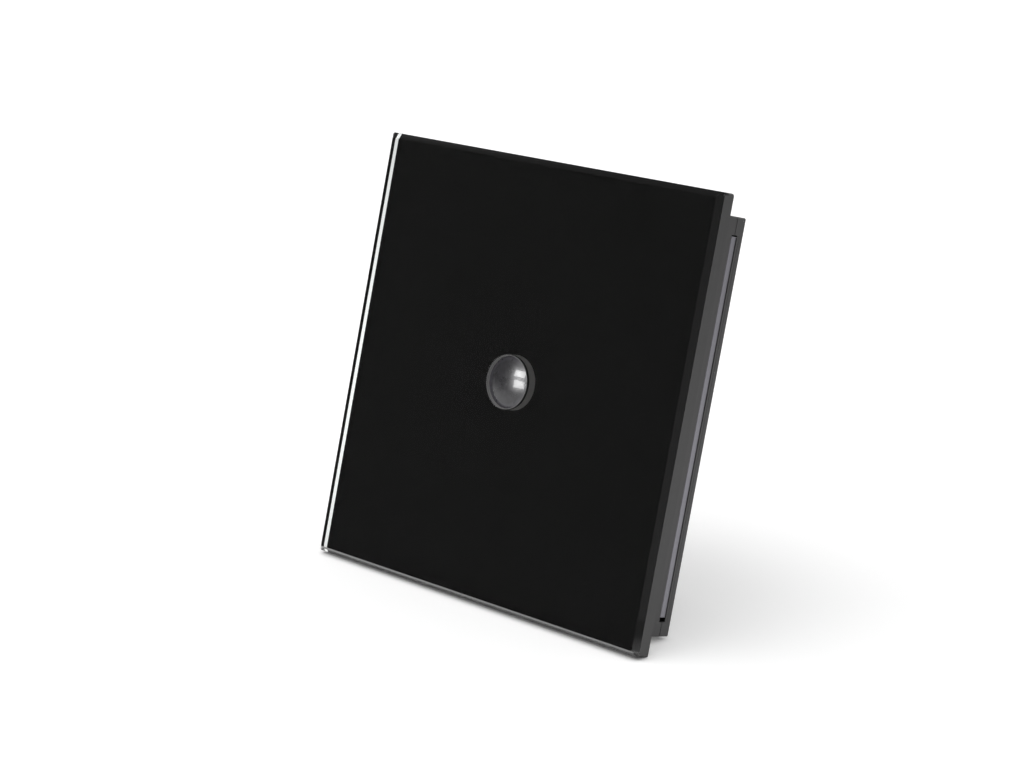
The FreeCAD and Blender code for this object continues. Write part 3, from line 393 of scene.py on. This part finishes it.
# the four ground side walls: a grey skin with grinding lines along them, dark seen from inside the glass
edgeLook = {
    "thickness": 0.022 * mm,
    "wallTilt": 0.1,
    "outerWithin": 0.01 * mm,
    "outerColour": (0.038, 0.0376, 0.038, 1.0),
    "outerTones": (0.7, 1.3),
    "innerColour": (0.008, 0.008, 0.008, 1.0),
    "mottle": (0.85, 1.15),
    "roughness": (0.36, 0.52),
    "lines": (90.0, 5200.0, 90.0),
    "lineDepth": 1.2e-6,
}
groundScale = 7000.0  # the grain of all ground glass
outerReach = halfPanel - edgeLook["outerWithin"]


def edgeMaterial():
    material, tree, shader, place = newMaterial("groundEdge")
    split = addNode(tree, "ShaderNodeSeparateXYZ", {"Vector": place})
    across = mathNode(tree, "ABSOLUTE", split.outputs["X"])
    level = mathNode(tree, "ABSOLUTE", split.outputs["Z"])
    outer = mathNode(tree, "GREATER_THAN", mathNode(tree, "MAXIMUM", across, level), outerReach)
    lines = useGroup(tree, brushGroup, Vector=place, Stretch=edgeLook["lines"])
    grain = useGroup(tree, grainGroup, Vector=place, Scale=groundScale)
    drawn = shades(tree, lines["Height"], edgeLook["outerColour"], *edgeLook["outerTones"])
    tone = blendColour(tree, outer, edgeLook["innerColour"], drawn)
    mottled = multiplied(tree, tone, blendValue(tree, grain["Mottle"], *edgeLook["mottle"]))
    tree.links.new(mottled, shader.inputs["Base Color"])
    tree.links.new(blendValue(tree, lines["Height"], *edgeLook["roughness"]), shader.inputs["Roughness"])
    bump(tree, shader, lines["Height"], edgeLook["lineDepth"])
    return material


def makeGroundEdge():
    shape = mergedCopy("glass_panel")
    others = [
        f for f in shape.faces
        if abs(f.normal.y) > edgeLook["wallTilt"] or f.calc_center_median().length < outlineFrom
    ]
    bmesh.ops.delete(shape, geom=others, context="FACES")
    bmesh.ops.solidify(shape, geom=shape.faces[:], thickness=edgeLook["thickness"])
    bmesh.ops.recalc_face_normals(shape, faces=shape.faces)
    addPiece("groundEdge", shape, "panel", "clear_glass", edgeMaterial())


# the ground wall of the hole: a skin over the bore that ends just clear of the lens; its outer face, seen
# through the glass, is painted paler than its inner face as painted light, with painted shade dark behind
# the polished lip, and its inner face is painted paler deeper down against the shade beside the lens; its
# levels are distances behind the glass's face
holeLook = {
    "outside": 4.94 * mm,
    "inside": 4.76 * mm,
    "front": 0.11 * mm,
    "backClear": 0.02 * mm,
    "steps": 96,
    "sharpFrom": 40,
    "roughness": 0.7,
    "innerColour": (0.15, 0.15, 0.15, 1.0),
    "deepLightColour": (0.4, 0.4, 0.4, 1.0),
    "deepFrom": 0.25 * mm,
    "deepTo": 0.8 * mm,
    "outerColour": (0.45, 0.44, 0.43, 1.0),
    "frontShadeColour": (0.008, 0.008, 0.008, 1.0),
    "frontShadeFrom": 1.2 * mm,
    "frontShadeTo": 1.0 * mm,
    "mottle": (0.8, 1.2),
    "grainDepth": 3e-6,
}


def axisRadius(tree, place):
    # how far a point lies from the lens axis
    split = addNode(tree, "ShaderNodeSeparateXYZ", {"Vector": place})
    flat = addNode(tree, "ShaderNodeCombineXYZ", {"X": split.outputs["X"], "Z": split.outputs["Z"]})
    radius = addNode(tree, "ShaderNodeVectorMath", {0: flat.outputs["Vector"]}, operation="LENGTH")
    return radius.outputs["Value"]


def groundMaterial():
    material, tree, shader, place = newMaterial("groundWall", Roughness=holeLook["roughness"])
    grain = useGroup(tree, grainGroup, Vector=place, Scale=groundScale)
    level = addNode(tree, "ShaderNodeSeparateXYZ", {"Vector": place}).outputs["Y"]
    depth = mathNode(tree, "SUBTRACT", level, glassFace)
    middle = (holeLook["inside"] + holeLook["outside"]) / 2
    # painted light: the outer face, seen through the glass, is paler than the inner face
    outer = mathNode(tree, "GREATER_THAN", axisRadius(tree, place), middle)
    # painted shade: the outer face is dark near the front, behind the polished lip
    lip = blendValue(tree, depth, 0.0, 1.0, holeLook["frontShadeFrom"], holeLook["frontShadeTo"])
    outerFaceTone = blendColour(tree, lip, holeLook["outerColour"], holeLook["frontShadeColour"])
    # painted light: the inner face grows paler deeper down, against the shade beside the lens
    deepLight = blendValue(tree, depth, 0.0, 1.0, holeLook["deepFrom"], holeLook["deepTo"])
    wall = blendColour(tree, deepLight, holeLook["innerColour"], holeLook["deepLightColour"])
    tone = blendColour(tree, outer, wall, outerFaceTone)
    mottled = multiplied(tree, tone, blendValue(tree, grain["Mottle"], *holeLook["mottle"]))
    tree.links.new(mottled, shader.inputs["Base Color"])
    bump(tree, shader, grain["Height"], holeLook["grainDepth"])
    return material


def makeHoleWall():
    shape = bmesh.new()
    inside, outside = holeLook["inside"], holeLook["outside"]
    front, back = glassFace + holeLook["front"], glassBack - holeLook["backClear"]
    profile = [
        shape.verts.new((radius, level, 0.0))
        for radius, level in ((inside, front), (outside, front), (outside, back), (inside, back))
    ]
    for first, second in zip(profile, profile[1:] + profile[:1]):
        shape.edges.new((first, second))
    bmesh.ops.spin(shape, geom=shape.verts[:] + shape.edges[:], cent=(0, 0, 0), axis=(0, 1, 0),
                   angle=2 * math.pi, steps=holeLook["steps"], use_merge=True)
    closeShape(shape)
    piece = addPiece("holeWall", shape, "panel", "clear_glass", groundMaterial())
    piece.data.shade_smooth()
    piece.data.set_sharp_from_angle(angle=math.radians(holeLook["sharpFrom"]))


# the fine frosted line where the bottom bevel meets the face; its pale colour is partly frosting and partly
# painted highlight
arrisLook = {
    "width": 0.45 * mm,
    "skin": 0.008 * mm,
    "slope": 0.3,
    "colour": (0.25, 0.25, 0.25, 1.0),
    "tones": (0.8, 1.2),
    "roughness": 0.35,
    "grainDepth": 2e-6,
}


def frostedHighlightMaterial():
    material, tree, shader, place = newMaterial("frostedHighlightLine", Roughness=arrisLook["roughness"])
    grain = useGroup(tree, grainGroup, Vector=place, Scale=groundScale)
    # painted highlight in part: a pale line for the bevel's bright edge
    tone = shades(tree, grain["Mottle"], arrisLook["colour"], *arrisLook["tones"])
    tree.links.new(tone, shader.inputs["Base Color"])
    bump(tree, shader, grain["Height"], arrisLook["grainDepth"])
    return material


def onBottomBevel(face):
    forward, down = face.normal.y < -arrisLook["slope"], face.normal.z < -arrisLook["slope"]
    return forward and down and face.calc_center_median().z < -outlineFrom


def makeArris():
    shape = mergedCopy("glass_panel")
    others = [f for f in shape.faces if not onBottomBevel(f)]
    bmesh.ops.delete(shape, geom=others, context="FACES")
    front = min(v.co.y for v in shape.verts)
    bevelWidth = max(v.co.y for v in shape.verts) - front
    lower = [v for v in shape.verts if v.co.y > front + bevelWidth / 2]
    drawnBack = bevelWidth - arrisLook["width"]
    bmesh.ops.translate(shape, verts=lower, vec=(0.0, -drawnBack, drawnBack))
    bmesh.ops.scale(shape, verts=lower, vec=(1.0 - drawnBack / outerReach, 1.0, 1.0))
    bmesh.ops.solidify(shape, geom=shape.faces[:], thickness=-arrisLook["skin"])
    bmesh.ops.recalc_face_normals(shape, faces=shape.faces)
    addPiece("bottomArris", shape, "panel", "clear_glass", frostedHighlightMaterial())


# both side slots: the bridge's edge as thick as it looks in the slot, and the frame's lip close behind it
slotLook = {
    "rim": {"depth": 0.3 * mm, "proud": 0.19 * mm, "front": -2.79 * mm, "back": -1.18 * mm,
            "round": 0.05 * mm},
    "lip": {"inside": 36.56 * mm, "outside": 36.73 * mm, "front": -1.48 * mm, "back": -0.93 * mm,
            "bottom": -34.6 * mm, "top": 33.1 * mm, "round": 0.04 * mm},
}


def sideBars(name, low, high, rounding, slotName):
    # a rounded bar from corner to corner, and its twin on the other side
    shape = bmesh.new()
    bmesh.ops.create_cube(shape, size=1.0)
    bmesh.ops.scale(shape, verts=shape.verts, vec=high - low)
    bmesh.ops.bevel(shape, geom=shape.edges[:], offset=rounding, segments=2, profile=0.5, affect="EDGES",
                    material=-1)
    bmesh.ops.translate(shape, verts=shape.verts, vec=(low + high) / 2)
    twin = bmesh.ops.duplicate(shape, geom=shape.verts[:] + shape.edges[:] + shape.faces[:])["geom"]
    mirrored = [item for item in twin if isinstance(item, bmesh.types.BMVert)]
    bmesh.ops.scale(shape, verts=mirrored, vec=(-1.0, 1.0, 1.0))
    bmesh.ops.recalc_face_normals(shape, faces=shape.faces)
    addPiece(name, shape, "module", slotName, materials[slotName])


def makeSlotEdges():
    rim, lip = slotLook["rim"], slotLook["lip"]
    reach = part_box("steel_bridge")[1][0]
    tab = [v.co.z for v in nodes["steel_bridge"].data.vertices if v.co.x > reach - rim["depth"]]
    low = Vector((reach - rim["depth"], rim["front"], min(tab)))
    high = Vector((reach + rim["proud"], rim["back"], max(tab)))
    sideBars("bridgeRims", low, high, rim["round"], "zinc_steel")
    low = Vector((lip["inside"], lip["front"], lip["bottom"]))
    high = Vector((lip["outside"], lip["back"], lip["top"]))
    sideBars("slotLips", low, high, lip["round"], "frame_plastic")


# smoke-grey lens plastic: glossy outside, with the lenslets on its inner face faintly seen, and painted
# paler towards its rim as painted light against the shade round its edge; a ring of lenslets is its radius,
# their count and the first one's angle
lensLook = {
    "colour": (0.023, 0.022, 0.026, 1.0),
    "ior": 1.54,
    "roughness": (0.22, 0.36),
    "coat": 0.35,
    "coatRoughness": 0.05,
    "grainScale": 6000.0,
    "grainDepth": 1e-6,
    "rings": ((1.6 * mm, 6, math.pi / 6), (3.2 * mm, 12, 0.0)),
    "lensletReach": 0.95 * mm,
    "facetShade": (1.14, 0.8),
    "cloudScale": 620.0,
    "cloudDetail": 4.0,
    "cloudDistortion": 1.2,
    "cloudDepth": 1.4e-5,
    "cloudTones": (0.4, 1.7),
    "rimFrom": 3.7 * mm,
    "rimTo": 4.6 * mm,
    "rimPaintedLight": 4.0,
}


def lensletDistance(tree, place, radius):
    # how far a point lies from the middle of the nearest lenslet, seen along the lens axis
    split = addNode(tree, "ShaderNodeSeparateXYZ", {"Vector": place})
    angle = mathNode(tree, "ARCTAN2", split.outputs["Z"], split.outputs["X"])
    nearest = radius
    for ringRadius, count, start in lensLook["rings"]:
        half = math.pi / count
        wrapped = mathNode(tree, "WRAP", mathNode(tree, "SUBTRACT", angle, start), half, -half)
        squares = mathNode(tree, "ADD", mathNode(tree, "MULTIPLY", radius, radius), ringRadius * ringRadius)
        along = mathNode(tree, "MULTIPLY", radius, mathNode(tree, "COSINE", wrapped))
        mixed = mathNode(tree, "MULTIPLY", along, 2 * ringRadius)
        squared = mathNode(tree, "MAXIMUM", mathNode(tree, "SUBTRACT", squares, mixed), 0.0)
        nearest = mathNode(tree, "MINIMUM", nearest, mathNode(tree, "SQRT", squared))
    return nearest


def lensMaterial():
    material, tree, shader, place = newMaterial(
        "lensPlastic", IOR=lensLook["ior"], Coat_Weight=lensLook["coat"],
        Coat_Roughness=lensLook["coatRoughness"])
    grain = useGroup(tree, grainGroup, Vector=place, Scale=lensLook["grainScale"])
    clouds = addNode(tree, "ShaderNodeTexNoise", {
        "Vector": place, "Scale": lensLook["cloudScale"], "Detail": lensLook["cloudDetail"],
        "Distortion": lensLook["cloudDistortion"]}).outputs["Fac"]
    tone = shades(tree, clouds, lensLook["colour"], *lensLook["cloudTones"])
    radius = axisRadius(tree, place)
    nearest = lensletDistance(tree, place, radius)
    facet = mathNode(tree, "DIVIDE", nearest, lensLook["lensletReach"], clamp=True)
    # painted light: paler towards the rim, against the shade and dark reflection round the lens's edge
    rim = blendValue(tree, radius, 1.0, lensLook["rimPaintedLight"], lensLook["rimFrom"], lensLook["rimTo"])
    shade = mathNode(tree, "MULTIPLY", blendValue(tree, facet, *lensLook["facetShade"]), rim)
    tree.links.new(multiplied(tree, tone, shade), shader.inputs["Base Color"])
    tree.links.new(blendValue(tree, clouds, *lensLook["roughness"]), shader.inputs["Roughness"])
    waves = addNode(tree, "ShaderNodeBump", {"Height": clouds, "Distance": lensLook["cloudDepth"]})
    bump(tree, shader, grain["Height"], lensLook["grainDepth"], waves.outputs["Normal"])
    return material


# green solder mask over copper tracks
boardLook = {
    "coat": 0.5,
    "trackScale": 320.0,
    "trackWidth": 0.03,
    "trackColour": (0.03, 0.2, 0.075, 1.0),
    "trackHeight": 1.5e-5,
    "maskTones": ((0.006, 0.075, 0.03, 1.0), (0.01, 0.11, 0.045, 1.0)),
    "roughness": (0.28, 0.42),
    "grainScale": 3500.0,
}


def boardMaterial():
    material, tree, shader, place = newMaterial("circuitBoard", Coat_Weight=boardLook["coat"])
    turned = addNode(tree, "ShaderNodeMapping", {"Vector": place, "Rotation": (math.pi / 2, 0.0, 0.0)})
    black, white = (0.0, 0.0, 0.0, 1.0), (1.0, 1.0, 1.0, 1.0)
    tracks = addNode(tree, "ShaderNodeTexBrick", {
        "Vector": turned.outputs["Vector"], "Scale": boardLook["trackScale"],
        "Mortar Size": boardLook["trackWidth"], "Color1": black, "Color2": black, "Mortar": white})
    grain = useGroup(tree, grainGroup, Vector=place, Scale=boardLook["grainScale"])
    mask = blendColour(tree, grain["Mottle"], *boardLook["maskTones"])
    tone = blendColour(tree, tracks.outputs["Color"], mask, boardLook["trackColour"])
    tree.links.new(tone, shader.inputs["Base Color"])
    tree.links.new(blendValue(tree, grain["Height"], *boardLook["roughness"]), shader.inputs["Roughness"])
    bump(tree, shader, tracks.outputs["Fac"], boardLook["trackHeight"])
    return material


# one finish for each material slot
materials = {
    "clear_glass": glassMaterial(),
    "black_print": printMaterial(),
    "black_foam": plastic("blackFoam", (0.022, 0.022, 0.023), 0.85, grainScale=1800.0, grainDepth=3e-5),
    "frame_plastic": plastic(
        "framePlastic", (0.045, 0.0435, 0.0445), 0.42, grainScale=2600.0, grainDepth=5e-6, dust=0.05,
        seam=True),
    "cover_plastic": plastic("coverPlastic", (0.03, 0.03, 0.032), 0.5),
    "housing_plastic": plastic(
        "housingPlastic", (0.036, 0.036, 0.038), 0.52, grainScale=1800.0, grainDepth=8e-6, dust=0.05),
    "block_plastic": plastic("blockPlastic", (0.1, 0.105, 0.11), 0.45),
    "zinc_steel": metal("zincSteel", (0.245, 0.24, 0.265), 0.42),
    "spring_steel": metal("springSteel", (0.6, 0.6, 0.6), 0.26, (60.0, 60.0, 2500.0)),
    "screw_steel": metal("screwSteel", (0.62, 0.62, 0.64), 0.3, (900.0, 900.0, 900.0)),
    "clamp_steel": metal("clampSteel", (0.58, 0.58, 0.6), 0.36, (60.0, 3500.0, 60.0)),
    "contact_brass": metal("contactBrass", (0.72, 0.5, 0.2), 0.28, (60.0, 60.0, 3000.0)),
    "lens_plastic": lensMaterial(),
    "can_metal": metal("canMetal", (0.66, 0.65, 0.62), 0.2, (400.0, 60.0, 400.0)),
    "infrared_filter": plastic(
        "infraredFilter", (0.02, 0.016, 0.026), 0.1, grainScale=8000.0, grainDepth=5e-7),
    "circuit_board": boardMaterial(),
    "chip_black": plastic("chipBlack", (0.018, 0.018, 0.019), 0.55, grainScale=5000.0, grainDepth=6e-6),
    "trimmer_blue": plastic("trimmerBlue", (0.02, 0.075, 0.32), 0.38),
    "rotor_white": plastic("rotorWhite", (0.7, 0.69, 0.65), 0.4, edge=1.1),
    "relay_case": plastic("relayCase", (0.028, 0.028, 0.032), 0.3, grainScale=4000.0, grainDepth=2e-6),
    "capacitor_yellow": plastic("capacitorYellow", (0.55, 0.3, 0.03), 0.34),
    "capacitor_sleeve": plastic(
        "capacitorSleeve", (0.012, 0.014, 0.04), 0.25, grainScale=3000.0, grainDepth=1e-6),
    "varistor_blue": plastic("varistorBlue", (0.015, 0.06, 0.24), 0.32, grainScale=900.0, grainDepth=2e-5),
    "resistor_body": plastic("resistorBody", (0.22, 0.27, 0.25), 0.6, grainScale=1500.0, grainDepth=2e-5),
}
for subpart in frame["record"]["subparts"]:
    mesh = nodes[subpart["node"]].data
    mesh.materials.clear()
    mesh.materials.append(materials[subpart["material_slot"]])
print("materials made:", len(materials))

makePlate()
makePrint()
makeGroundEdge()
makeHoleWall()
makeArris()
makeSlotEdges()
print("glass plate, print, ground walls and slot edges made")


# the camera at the photograph's viewpoint
cameraLook = {
    "place": Vector((314.49, -360.78, 40.42)) * mm,
    "right": Vector((0.722, 0.6687, 0.1776)),
    "up": Vector((-0.1892, -0.056, 0.9803)),
    "back": Vector((0.6655, -0.7414, 0.0861)),
    "lens": 93.19,
    "sensor": 36.0,
    "clipStart": 10 * mm,
}


def makeCamera():
    data = bpy.data.cameras.new("camera")
    data.lens = cameraLook["lens"]
    data.sensor_width = cameraLook["sensor"]
    data.clip_start = cameraLook["clipStart"]
    camera = bpy.data.objects.new("camera", data)
    bpy.context.scene.collection.objects.link(camera)
    turn = Matrix((cameraLook["right"], cameraLook["up"], cameraLook["back"])).transposed()
    camera.matrix_world = Matrix.Translation(cameraLook["place"]) @ turn.to_quaternion().to_matrix().to_4x4()
    bpy.context.scene.camera = camera


makeCamera()
bpy.context.scene.view_settings.view_transform = "Standard"
print("camera set")


# the stage: a white floor that the switch stands on, leaning back
lean = math.radians(14.9)
floorUp = Vector((0.0, -math.sin(lean), math.cos(lean)))
floorDeep = Vector((0.0, math.cos(lean), math.sin(lean)))
floorLook = {
    "level": -36.386 * mm,
    "size": 6.0,
    "colour": (0.9, 0.9, 0.9),
    "lift": 0.34,
    "contactReach": 1.6 * mm,
    "contactPower": 0.7,
    "contactSamples": 8,
    "fadeFrom": 0.12,
    "fadeTo": 0.6,
    "fadeLevel": 0.3,
}


def gridPiece(name, centre, sideAxis, deepAxis, size):
    shape = bmesh.new()
    bmesh.ops.create_grid(shape, x_segments=1, y_segments=1, size=size / 2)
    turn = Matrix((sideAxis, deepAxis, sideAxis.cross(deepAxis))).transposed().to_4x4()
    bmesh.ops.transform(shape, matrix=Matrix.Translation(centre) @ turn, verts=shape.verts)
    return meshObject(name, shape)


def floorMaterial():
    # diffuse white, lifted to pure white where it is seen except in contact shadows; clear from below, and
    # fading far out in reflections
    material = bpy.data.materials.new("floorWhite")
    material.use_nodes = True
    tree = material.node_tree
    tree.nodes.clear()
    light = tree.nodes.new("ShaderNodeLightPath").outputs
    behind = tree.nodes.new("ShaderNodeNewGeometry").outputs["Backfacing"]
    place = tree.nodes.new("ShaderNodeTexCoord").outputs["Object"]
    away = addNode(tree, "ShaderNodeVectorMath", {0: place}, operation="LENGTH").outputs["Value"]
    faded = blendValue(tree, away, 1.0, floorLook["fadeLevel"], floorLook["fadeFrom"], floorLook["fadeTo"])
    level = blendValue(tree, light["Is Glossy Ray"], 1.0, faded)
    diffuse = addNode(tree, "ShaderNodeBsdfDiffuse", {"Color": multiplied(tree, floorLook["colour"], level)})
    seen = mathNode(tree, "ADD", light["Is Camera Ray"], light["Is Glossy Ray"])
    seen = mathNode(tree, "ADD", seen, light["Is Transmission Ray"], clamp=True)
    contact = addNode(tree, "ShaderNodeAmbientOcclusion", {"Distance": floorLook["contactReach"]},
                      samples=floorLook["contactSamples"])
    openSky = mathNode(tree, "POWER", contact.outputs["AO"], floorLook["contactPower"])
    lifted = mathNode(tree, "MULTIPLY", mathNode(tree, "MULTIPLY", seen, openSky), level)
    strength = mathNode(tree, "MULTIPLY", lifted, floorLook["lift"])
    lift = addNode(tree, "ShaderNodeEmission", {"Strength": strength})
    both = addNode(tree, "ShaderNodeAddShader", {0: diffuse.outputs[0], 1: lift.outputs[0]})
    clear = tree.nodes.new("ShaderNodeBsdfTransparent")
    mixed = addNode(tree, "ShaderNodeMixShader", {0: behind, 1: both.outputs[0], 2: clear.outputs[0]})
    end = tree.nodes.new("ShaderNodeOutputMaterial")
    tree.links.new(mixed.outputs[0], end.inputs["Surface"])
    return material


floor = gridPiece("floor", floorUp * floorLook["level"], Vector((1, 0, 0)), floorDeep, floorLook["size"])
floor.data.materials.append(floorMaterial())


# a dark card that the camera doesn't see, where the glass's front face reflects
cardLook = {"colour": (0.18, 0.18, 0.18, 1.0), "distance": 0.6, "size": 0.3}
back = cameraLook["back"]
cardAway = Vector((-back.x, back.y, -back.z))
cardSide = cardAway.cross(floorUp).normalized()
cardUp = cardSide.cross(cardAway).normalized()
card = gridPiece("darkCard", cardAway * cardLook["distance"], cardSide, cardUp, cardLook["size"])
card.data.materials.append(newMaterial("darkCard", Base_Color=cardLook["colour"], Roughness=1.0)[0])
card.visible_camera = False
card.visible_diffuse = False
card.visible_shadow = False


# an even world, dark towards the front left in reflections
worldLook = {
    "strength": 0.66,
    "darkTowards": Vector((-0.457, -0.762, 0.457)),
    "darkFrom": -0.3,
    "darkTo": 0.2,
    "darkLevel": 0.16,
}


def makeWorld():
    world = bpy.data.worlds.new("studio")
    bpy.context.scene.world = world
    world.use_nodes = True
    tree = world.node_tree
    light = tree.nodes.new("ShaderNodeLightPath").outputs
    through = mathNode(tree, "ADD", light["Is Camera Ray"], light["Is Transmission Ray"], clamp=True)
    plain = blendValue(tree, through, worldLook["strength"], 1.0)
    direction = tree.nodes.new("ShaderNodeTexCoord").outputs["Generated"]
    towards = addNode(tree, "ShaderNodeVectorMath", {0: direction, 1: worldLook["darkTowards"]},
                      operation="DOT_PRODUCT").outputs["Value"]
    mirrored = blendValue(
        tree, towards, 1.0, worldLook["darkLevel"], worldLook["darkFrom"], worldLook["darkTo"])
    background = tree.nodes["Background"]
    background.inputs["Color"].default_value = (1.0, 1.0, 1.0, 1.0)
    strength = blendValue(tree, light["Is Glossy Ray"], plain, mirrored)
    tree.links.new(strength, background.inputs["Strength"])


def softbox(name, place, target, width, height, power, roll=0.0):
    data = bpy.data.lights.new(name, "AREA")
    data.shape = "RECTANGLE"
    data.size = width
    data.size_y = height
    data.energy = power
    lamp = bpy.data.objects.new(name, data)
    bpy.context.scene.collection.objects.link(lamp)
    lamp.location = place
    facing = (place - target).normalized()
    sideways = Matrix.Rotation(roll, 3, facing) @ floorUp.cross(facing).normalized()
    lamp.rotation_euler = Matrix((sideways, facing.cross(sideways), facing)).transposed().to_euler()
    return lamp


# one big softbox overhead, leaning to the picture's left
keyLook = {"power": 5.2, "size": 1.0, "distance": 1.3, "lean": 0.45}


def makeKey():
    place = (floorUp - cameraLook["right"] * keyLook["lean"]).normalized() * keyLook["distance"]
    softbox("keyLight", place, Vector(), keyLook["size"], keyLook["size"], keyLook["power"])


# two window panes of a lamp in front, whose highlights show in glossy surfaces such as the lens
glintLook = {
    "towards": Vector((-0.275, -0.959, 0.064)),
    "distance": 0.9,
    "panes": (
        {"aside": -0.03, "lift": 0.112, "width": 0.31, "height": 0.14, "roll": 5, "power": 3.3},
        {"aside": 0.03, "lift": -0.12, "width": 0.31, "height": 0.17, "roll": 3, "power": 3.6},
    ),
}


def makeGlints():
    towards = glintLook["towards"].normalized()
    sideways = floorUp.cross(towards).normalized()
    upwards = towards.cross(sideways)
    for pane in glintLook["panes"]:
        middle = sideways * pane["aside"] + upwards * pane["lift"]
        place = towards * glintLook["distance"] + middle
        width, height, power = pane["width"], pane["height"], pane["power"]
        lamp = softbox("paneLight", place, middle, width, height, power, math.radians(pane["roll"]))
        lamp.visible_diffuse = False
        lamp.visible_transmission = False


makeWorld()
makeKey()
makeGlints()
print("stage and lights made")

bpy.context.view_layer.update()
